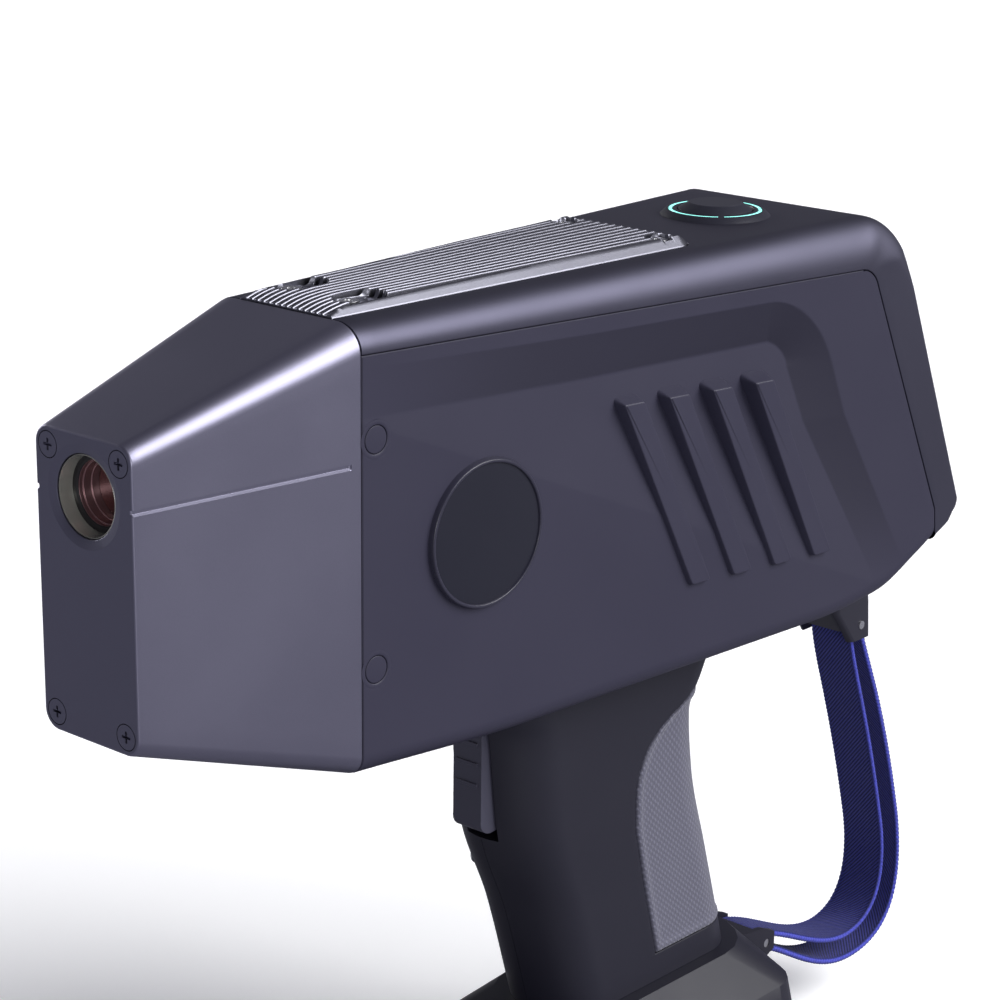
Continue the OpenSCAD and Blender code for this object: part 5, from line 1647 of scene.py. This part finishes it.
@dataclass
class Grip:
    """The two grip halves with the trigger slot, the soft pad behind and the screws."""
    form: GripForm = field(default_factory=GripForm)
    slot_half: float = 5.1
    slot_low: float = 97.0
    slot_back: float = 137.4
    seam: float = 0.08
    groove: float = 0.32
    bead: float = 0.38
    bead_wide: float = 2.3
    turn_in: float = 0.3
    wall: float = 1.8
    seam_deep: float = 1.5

    def half_shell(self, name: str, node: str, flip: bool) -> None:
        """One grip half: front strip, slot, flank up to the pad, and the parts above and below.

        All grids share their edge columns, so they weld. Beside the pad the edge turns in over
        0.3 mm; the amount fades out above and below the pad.

        Args:
            name: the piece's name.
            node: the frame node it replaces.
            flip: mirrors it to the -X side.
        """
        f = self.form
        low, high = f.pad_z[0] - self.groove, f.pad_z[1] + self.groove
        z = spaced((44.0, 0), (low - 0.4, 9), (low, 2), (low + 0.4, 2), (96.6, 44), (self.slot_low, 2),
                   (97.4, 2), (high - 0.4, 30), (high, 2), (high + 0.4, 2), (136.9, 20))
        z[0] = 44.05
        inside = ((z >= low - 1e-6) & (z <= high + 1e-6)).astype(float)
        edge = lambda level: f.at_y(level, f.pad_edge(np.clip(level, *f.pad_z)) - self.groove)
        slot = lambda level: f.at_x(level, self.slot_half)
        seam = lambda level: f.at_x(level, self.seam)
        sign = MIRROR if flip else 1.0
        share = np.concatenate([np.linspace(0, 0.97, 34), [0.985, 0.994, 1.0]])
        skin = Skin(name)
        flank, normal = f.patch(z, slot, edge, share)
        turn_in = np.concatenate([np.zeros(34), [0.02, 0.09, self.turn_in]])
        turn_in = turn_in[None, :, None] * inside[:, None, None]
        flank = flank - normal * turn_in
        skin.grid(flank * sign)
        wall = np.stack([flank[:, -1], flank[:, -1] - normal[:, -1] * self.wall], 1)[inside > 0]
        skin.grid(wall * sign)
        zf = z[z <= self.slot_low + 1e-6]
        strip, _ = f.patch(zf, seam, slot, np.linspace(0, 1, 9))
        skin.grid(strip * sign)
        in_slot = z[z >= self.slot_low - 1e-6]
        side = flank[z >= self.slot_low - 1e-6][:, 0]
        deep = side.copy()
        deep[:, 1] = np.maximum(self.slot_back, side[:, 1] + 1.0)
        skin.grid(np.stack([side, side * 0.5 + deep * 0.5, deep], 1) * sign)
        floor = strip[-1].copy()
        floor_in = floor.copy()
        floor_in[:, 1] = self.slot_back
        skin.grid(np.stack([floor, floor_in]) * sign)
        wall_y = np.full(len(in_slot), self.slot_back)
        end_wall = np.stack([np.stack([np.full(len(in_slot), x), wall_y, in_slot], 1)
                             for x in (self.seam, self.slot_half)], 1)
        skin.grid(end_wall * sign)
        middle = strip[:, 0]
        into = np.array([0, self.seam_deep, 0])
        skin.grid(np.stack([middle, middle + into], 1) * sign)
        rear_x = lambda level: f.total(level) - self.seam
        for part in (z[z <= low + 1e-6], z[z >= high - 1e-6]):
            tail, tail_n = f.patch(part, edge, rear_x, np.linspace(0, 1, 34))
            off = np.minimum(np.abs(part - low), np.abs(part - high))
            rim = np.where(off < 1e-6, self.turn_in, np.where(off < 0.21, 0.03, 0.0))
            tail = tail - tail_n * rim[:, None, None]
            skin.grid(tail * sign)
            row = -1 if part[0] < 60 else 0
            skin.grid(np.stack([tail[row], tail[row] - tail_n[row] * self.wall]) * sign)
            skin.grid(np.stack([tail[:, -1], tail[:, -1] - into], 1) * sign)
        thing = skin.build(34, away_from=(0, 160, 90))
        fit(thing, Finish.GRIP, "grip_plastic", MAIN, node)

    def pad(self) -> None:
        """The soft pad: a bead along its rim and the level field inside.

        At the distance d from the rim it stands 0.38 mm times sin(pi d / 2.3) to the power 0.8
        proud of the grip's form, less 0.35 (1 - d / 0.35)^2 at the rim; from 2.3 mm on it is level.
        """
        f = self.form
        low, high = f.pad_z
        edges = np.array([0.0, 0.1, 0.3, 0.6, 1.0, 1.5, 2.0, 2.6])
        zs = np.concatenate([[low, low], low + edges, np.linspace(low + 2.6, high - 2.6, 56)[1:-1],
                             (high - edges)[::-1], [high, high]])
        drop_z = np.concatenate([[2.0, 0.9], np.full(len(zs) - 4, -1.0), [0.9, 2.0]])
        rows, uvs, n_mid = [], [], 64
        for level, drop in zip(zs, drop_z):
            first = f.at_y(level, f.pad_edge(level))
            total = f.total(level)
            reach = 2 * (total - first)
            s = np.concatenate([[0, 0], edges, np.linspace(2.6, reach - 2.6, n_mid)[1:-1],
                                (reach - edges)[::-1], [reach, reach]])
            d = np.minimum(np.minimum(s, reach - s), min(level - low, high - level))
            bead = self.bead * np.sin(np.pi * np.clip(d / self.bead_wide, 0, 1)) ** 0.8
            lift = bead - 0.35 * np.clip(1 - d / 0.35, 0, 1) ** 2
            col_drop = np.concatenate([[2.0, 0.9], np.full(len(s) - 4, -1.0), [0.9, 2.0]])
            sunk = np.maximum(col_drop, drop)
            lift = np.where(sunk > 0, -sunk, lift)
            half_s = np.where(s <= reach / 2, first + s, total - (s - reach / 2))
            p = f.at(level, half_s) + f.normals(level, half_s) * lift[:, None]
            p[:, 0] *= np.where(s <= reach / 2, 1.0, -1.0)
            rows.append(p)
            uvs.append(np.stack([s - reach / 2, np.full(len(s), level)], 1))
        thing = Skin("grip_pad_skin").grid(np.stack(rows), uv=np.stack(uvs)).build(50, away_from=(0, 160, 90))
        fit(thing, Finish.PAD, "pad_rubber", MAIN, "grip_pad")

    def screws(self) -> None:
        """Turned screw heads on the -X flank, each in a small dished seat."""
        skin = Skin("grip_screw_heads")
        rows = np.array([(0.0, -0.25), (0.85, -0.25), (0.95, 0.02), (1.7, 0.06), (1.95, 0.0), (2.05, -0.25),
                         (2.12, -0.25), (2.2, 0.0), (2.45, 0.07), (2.9, 0.05), (3.1, 0.0), (3.0, -0.4),
                         (0.0, -0.5)])
        for y, z in ((132.6, 126.0), (137.0, 84.0), (183.0, 127.6)):
            wide = float(fair_curve(np.array([z]), self.form.levels, self.form.half)[0])
            skin.turned(rows, Axes((0.02 - wide, y, z), (0, -1, 0), (0, 0, 1), (-1, 0, 0)), 48)
        fit(skin.build(30), Finish.STEEL, "screw_steel", MAIN, "grip_screws")

    def build(self) -> None:
        """Builds the grip and eases its collar and the trigger."""
        self.half_shell("grip_half_minus", "grip_left", True)
        self.half_shell("grip_half_plus", "grip_right", False)
        self.pad()
        self.screws()
        fit(eased_copy("grip_collar", "grip_collar_eased", 0.5), Finish.GRIP, "grip_plastic")
        fit(eased_copy("trigger", "trigger_eased", 0.45), Finish.TRIGGER, "trigger_plastic", "trigger")


# ---- strap

@dataclass
class Strap:
    """Woven hand strap: one closed loop round the lug's pin and the collar's pin."""
    lug: Pair = (270.6, 116.4)
    low: Pair = (231.0, 33.0)
    lug_y: float = 263.4
    width: float = 13.5
    thick: float = 1.5

    def path(self) -> np.ndarray:
        """The loop's centre line: arcs round both pins joined by Bezier curves.

        Returns:
            (n, 2) points in y, z.
        """
        r = 1.25 + self.thick / 2
        arc = lambda c, a, b: np.stack([c[0] + r * np.cos(np.radians(np.linspace(a, b, 30))),
                                        c[1] + r * np.sin(np.radians(np.linspace(a, b, 30)))], 1)
        bez = lambda *points: bezier(*points, 40)
        on = lambda c, a: (c[0] + r * math.cos(math.radians(a)), c[1] + r * math.sin(math.radians(a)))
        l, (ly, lz) = self.lug_y, self.lug
        runs = [arc(self.lug, 16, 185),
                bez(on(self.lug, 185), (ly - 1.0, lz - 12), (l + 14.6, 92), (l + 25.8, 50)),
                bez((l + 25.8, 50), (l + 29.6, 34), (l + 26.6, 21.6), (l + 12.6, 20)),
                bez((l + 12.6, 20), (l - 1.4, 18.4), (246, 31.2), on(self.low, 76)), arc(self.low, 76, 256),
                bez(on(self.low, 256), (243, 28), (l - 5.4, 12.7), (l + 12.6, 12.6)),
                bez((l + 12.6, 12.6), (l + 34.6, 12.5), (l + 38.6, 28), (l + 33.8, 50)),
                bez((l + 33.8, 50), (l + 22.6, 92), (ly + 5.5, lz - 12), on(self.lug, 16))]
        return np.concatenate([q[:-1] for q in runs])

    def loop(self, step: float) -> Tuple[np.ndarray, np.ndarray, float]:
        """Resamples the loop evenly.

        Args:
            step: wanted spacing.

        Returns:
            Points (n, 2), outward unit normals (n, 2) and the loop's length.
        """
        p = self.path()
        q = closed_ring(p)
        run = np.concatenate([[0], np.cumsum(np.linalg.norm(np.diff(q, axis=0), axis=1))])
        n = int(run[-1] / step)
        s = np.arange(n) * run[-1] / n
        line = np.stack([np.interp(s, run, q[:, 0]), np.interp(s, run, q[:, 1])], 1)
        for _ in range(3):
            line = 0.5 * line + 0.25 * (np.roll(line, 1, 0) + np.roll(line, -1, 0))
        along = np.roll(line, -1, 0) - np.roll(line, 1, 0)
        along /= np.linalg.norm(along, axis=1, keepdims=True)
        return line, np.stack([along[:, 1], -along[:, 0]], 1), float(run[-1])

    def build(self) -> None:
        """Sweeps the webbing and lays the edge threads along it.

        The section is a flat bar with half-round edges, its faces waved by 0.03 mm times
        sin(2 pi (0.9 s + across) / 1.7) for the weave; surface coordinates are millimetres
        across and along.
        """
        line, normal, length = self.loop(0.5)
        n = len(line)
        s = np.arange(n)[:, None] * length / n
        h, e = self.thick / 2 - 0.04, self.thick / 2
        a = np.radians(np.linspace(90, -90, 9))
        flat = np.linspace(-self.width / 2 + e, self.width / 2 - e, 22)
        across = np.concatenate([flat, self.width / 2 - e + e * np.cos(a)[1:-1], flat[::-1],
                                 -(self.width / 2 - e) - e * np.cos(a)[1:-1]])
        high = np.concatenate([np.full(22, h), h * np.sin(a)[1:-1], np.full(22, -h),
                               h * np.sin(a[::-1])[1:-1]])
        wave = 0.03 * np.sin(2 * np.pi * (s * 0.9 + across[None, :]) / 1.7) * (np.abs(high) > h * 0.9)
        off = high[None, :] + wave * np.sign(high)[None, :]
        grid = np.stack([np.broadcast_to(across, off.shape), line[:, 0:1] + normal[:, 0:1] * off,
                         line[:, 1:2] + normal[:, 1:2] * off], -1)
        uv = np.stack([np.broadcast_to(across, off.shape), np.broadcast_to(s, off.shape)], -1)
        web = Skin("strap_webbing").grid(grid, close_rows=True, close_cols=True, uv=uv).build(60)
        fit(web, Finish.STRAP, "strap_webbing", MAIN, "hand_strap")
        rope = Skin("strap_edge_threads")
        line, normal, length = self.loop(0.36)
        n = len(line)
        k = np.arange(n)[:, None]
        t = np.radians(np.arange(0, 360, 60))[None, :]
        for x in (-self.width / 2 + 0.5, self.width / 2 - 0.5):
            fat = 0.2 + 0.06 * np.cos(2 * np.pi * k / 4)
            px = x + fat * np.cos(t) * 1.5
            for face in (1.0, -1.0):
                off = face * (h - 0.02) + fat * np.sin(t)
                py, pz = line[:, 0:1] + normal[:, 0:1] * off, line[:, 1:2] + normal[:, 1:2] * off
                rope.grid(np.stack([px, py, pz], -1), close_rows=True, close_cols=True)
        fit(rope.build(80), Finish.THREAD, "strap_webbing")
        fit(eased_copy("strap_lug", "strap_lug_eased", 0.5), Finish.LUG, "lug_plastic")


# ---- rear, foot and inner parts

@dataclass
class Rear:
    """Display surround with its port door."""
    edge: float = 0.35

    def build(self) -> None:
        """Eases the surround and the door; the glass and module keep their frame shapes."""
        fit(eased_copy("rear_bezel", "display_surround", self.edge), Finish.REAR, "bezel_black")
        fit(eased_copy("port_door", "port_door_eased", 0.3), Finish.DOOR, "door_rubber", "port_door")


@dataclass
class Foot:
    """Battery foot: case, rubber sole and the two push latches."""
    edge: float = 0.6

    def build(self) -> None:
        """Eases the case's, the sole's and the latches' edges."""
        case = eased_copy("battery_case", "battery_case_eased", self.edge)
        fit(case, Finish.CASE, "battery_plastic", "battery")
        sole = eased_copy("foot_sole", "foot_sole_eased", 0.25, 2)
        fit(sole, Finish.SOLE, "sole_rubber", "battery")
        for side in ("left", "right"):
            key = eased_copy("latch_" + side, "latch_key_" + side, 0.35)
            fit(key, Finish.LATCH, "latch_plastic", "latch_" + side)


INNER: Dict[str, Finish] = {
    "shell_screws": Finish.STEEL, "button_spring": Finish.STEEL, "power_switch": Finish.BUTTON,
    "display_glass": Finish.DISPLAY, "display_module": Finish.MILLED, "port_pin": Finish.STEEL,
    "port_board": Finish.BOARD, "battery_well": Finish.WELL, "trigger_pin": Finish.STEEL,
    "trigger_spring": Finish.STEEL, "trigger_switch": Finish.BUTTON, "strap_pin": Finish.STEEL,
    "collar_pin": Finish.STEEL, "battery_cells": Finish.CELL, "battery_contacts": Finish.BRASS,
    "latch_springs": Finish.STEEL, "chassis": Finish.MILLED, "detector_block": Finish.TUBE,
    "xray_tube": Finish.TUBE, "detector_can": Finish.TUBE, "filter_wheel": Finish.MILLED,
    "filter_motor": Finish.MOTOR, "high_voltage_pack": Finish.POTTING, "main_board": Finish.BOARD,
    "heat_spreader": Finish.COPPER, "battery_socket": Finish.BRASS, "tripod_insert": Finish.BRASS,
}


def dress_inner() -> None:
    """Gives the frame nodes that keep their own shapes their finishes."""
    for node, finish in INNER.items():
        dress(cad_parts[node], finish)
        LOG.info("%s keeps its frame shape", node)


# ---- stage, light and camera

@dataclass
class Studio:
    """Plain pale floor, soft white surroundings, large soft lights and the camera."""
    place: Point = (0.42124, -0.51662, 0.37222)
    azimuth: float = 41.46
    height: float = 16.64
    roll: float = 0.65
    lens: float = 100.497
    floor_reach: float = 9.0
    floor_z: float = -0.0006
    floor_seen: Tuple[Colour, Colour] = ((1.21, 1.21, 1.215), (1.25, 1.25, 1.25))
    floor_thrown: Colour = (0.30, 0.30, 0.345)
    sky: Colour = (0.94, 0.94, 1.12)
    sky_power: float = 0.15
    suns: Tuple[Tuple[str, Point, float, float], ...] = (
        ("key_light", (0.70, 0.40, 0.55), 4.1, 48.0), ("front_fill", (0.76, -0.64, 0.06), 1.4, 26.0),
        ("left_fill", (-0.99, 0.10, 0.07), 1.9, 34.0))

    def floor(self) -> None:
        """One wide pale sheet just under the ground plane, which throws little light back up."""
        mesh = bpy.data.meshes.new("studio_floor")
        r, low = self.floor_reach, self.floor_z
        mesh.from_pydata([(-r, -r, low), (r, -r, low), (r, r, low), (-r, r, low)], [], [(0, 1, 2, 3)])
        thing = bpy.data.objects.new("studio_floor", mesh)
        bpy.context.scene.collection.objects.link(thing)
        g = Graph("studio_floor")
        cloud = g.noise(g.place(), 3.0, 2.0)
        seen = g.tree.nodes.new("ShaderNodeLightPath").outputs["Is Camera Ray"]
        colour = g.mix(seen, self.floor_thrown, g.mix(cloud, *self.floor_seen))
        g.set(Base_Color=colour, Roughness=0.8, Specular_IOR_Level=0.1)
        mesh.materials.append(g.material)

    def sun(self, name: str, towards: Point, strength: float, spread_deg: float) -> None:
        """Adds one even soft light.

        Args:
            name: its name.
            towards: where it stands, as a direction.
            strength: its power.
            spread_deg: how wide it is in the sky.
        """
        data = bpy.data.lights.new(name, "SUN")
        data.energy, data.angle = strength, math.radians(spread_deg)
        thing = bpy.data.objects.new(name, data)
        thing.rotation_euler = Vector(towards).to_track_quat("Z", "Y").to_euler()
        bpy.context.scene.collection.objects.link(thing)

    def camera(self) -> None:
        """Sets the camera from its azimuth, height and roll."""
        a, e, c = (math.radians(v) for v in (self.azimuth, self.height, self.roll))
        back = Vector((math.sin(a) * math.cos(e), -math.cos(a) * math.cos(e), math.sin(e)))
        right = (-back).cross(Vector((0, 0, 1))).normalized()
        up = right.cross(-back)
        x_axis = math.cos(c) * right + math.sin(c) * up
        y_axis = -math.sin(c) * right + math.cos(c) * up
        data = bpy.data.cameras.new("camera")
        data.lens, data.sensor_width, data.clip_start = self.lens, 36.0, 0.01
        thing = bpy.data.objects.new("camera", data)
        turn = Matrix((x_axis, y_axis, back)).transposed()
        thing.matrix_world = Matrix.Translation(self.place) @ turn.to_4x4()
        bpy.context.scene.collection.objects.link(thing)
        bpy.context.scene.camera = thing

    def build(self) -> None:
        """Sets floor, surroundings, lights and camera."""
        self.floor()
        world = bpy.data.worlds.new("studio")
        world.use_nodes = True
        tree = world.node_tree
        seen = tree.nodes.new("ShaderNodeLightPath").outputs["Is Camera Ray"]
        tone_mix, power = tree.nodes.new("ShaderNodeMix"), tree.nodes.new("ShaderNodeMapRange")
        tone_mix.data_type = "RGBA"
        tone_mix.inputs[6].default_value = (*self.sky, 1.0)
        tone_mix.inputs[7].default_value = (1.0, 1.0, 1.0, 1.0)
        power.inputs[3].default_value, power.inputs[4].default_value = self.sky_power, 1.0
        for target, source in ((tone_mix.inputs["Factor"], seen), (power.inputs[0], seen),
                               (tree.nodes["Background"].inputs["Color"], tone_mix.outputs[2]),
                               (tree.nodes["Background"].inputs["Strength"], power.outputs[0])):
            tree.links.new(source, target)
        bpy.context.scene.world = world
        for light in self.suns:
            self.sun(*light)
        bpy.context.scene.view_settings.view_transform = "Standard"
        self.camera()


def main() -> None:
    """Builds the instrument's sub-assemblies in order, then the studio."""
    logging.basicConfig(level=logging.INFO, format="%(name)s %(message)s")
    Nose().build()
    Cover().shell()
    SidePanel().build("shell_minus", "left_shell", True)
    SidePanel().build("shell_plus", "right_shell", False)
    SideTrim().build()
    HeatSink().build()
    PowerButton().build()
    Rear().build()
    Grip().build()
    Strap().build()
    Foot().build()
    dress_inner()
    Studio().build()


if __name__ == "__main__":
    main()
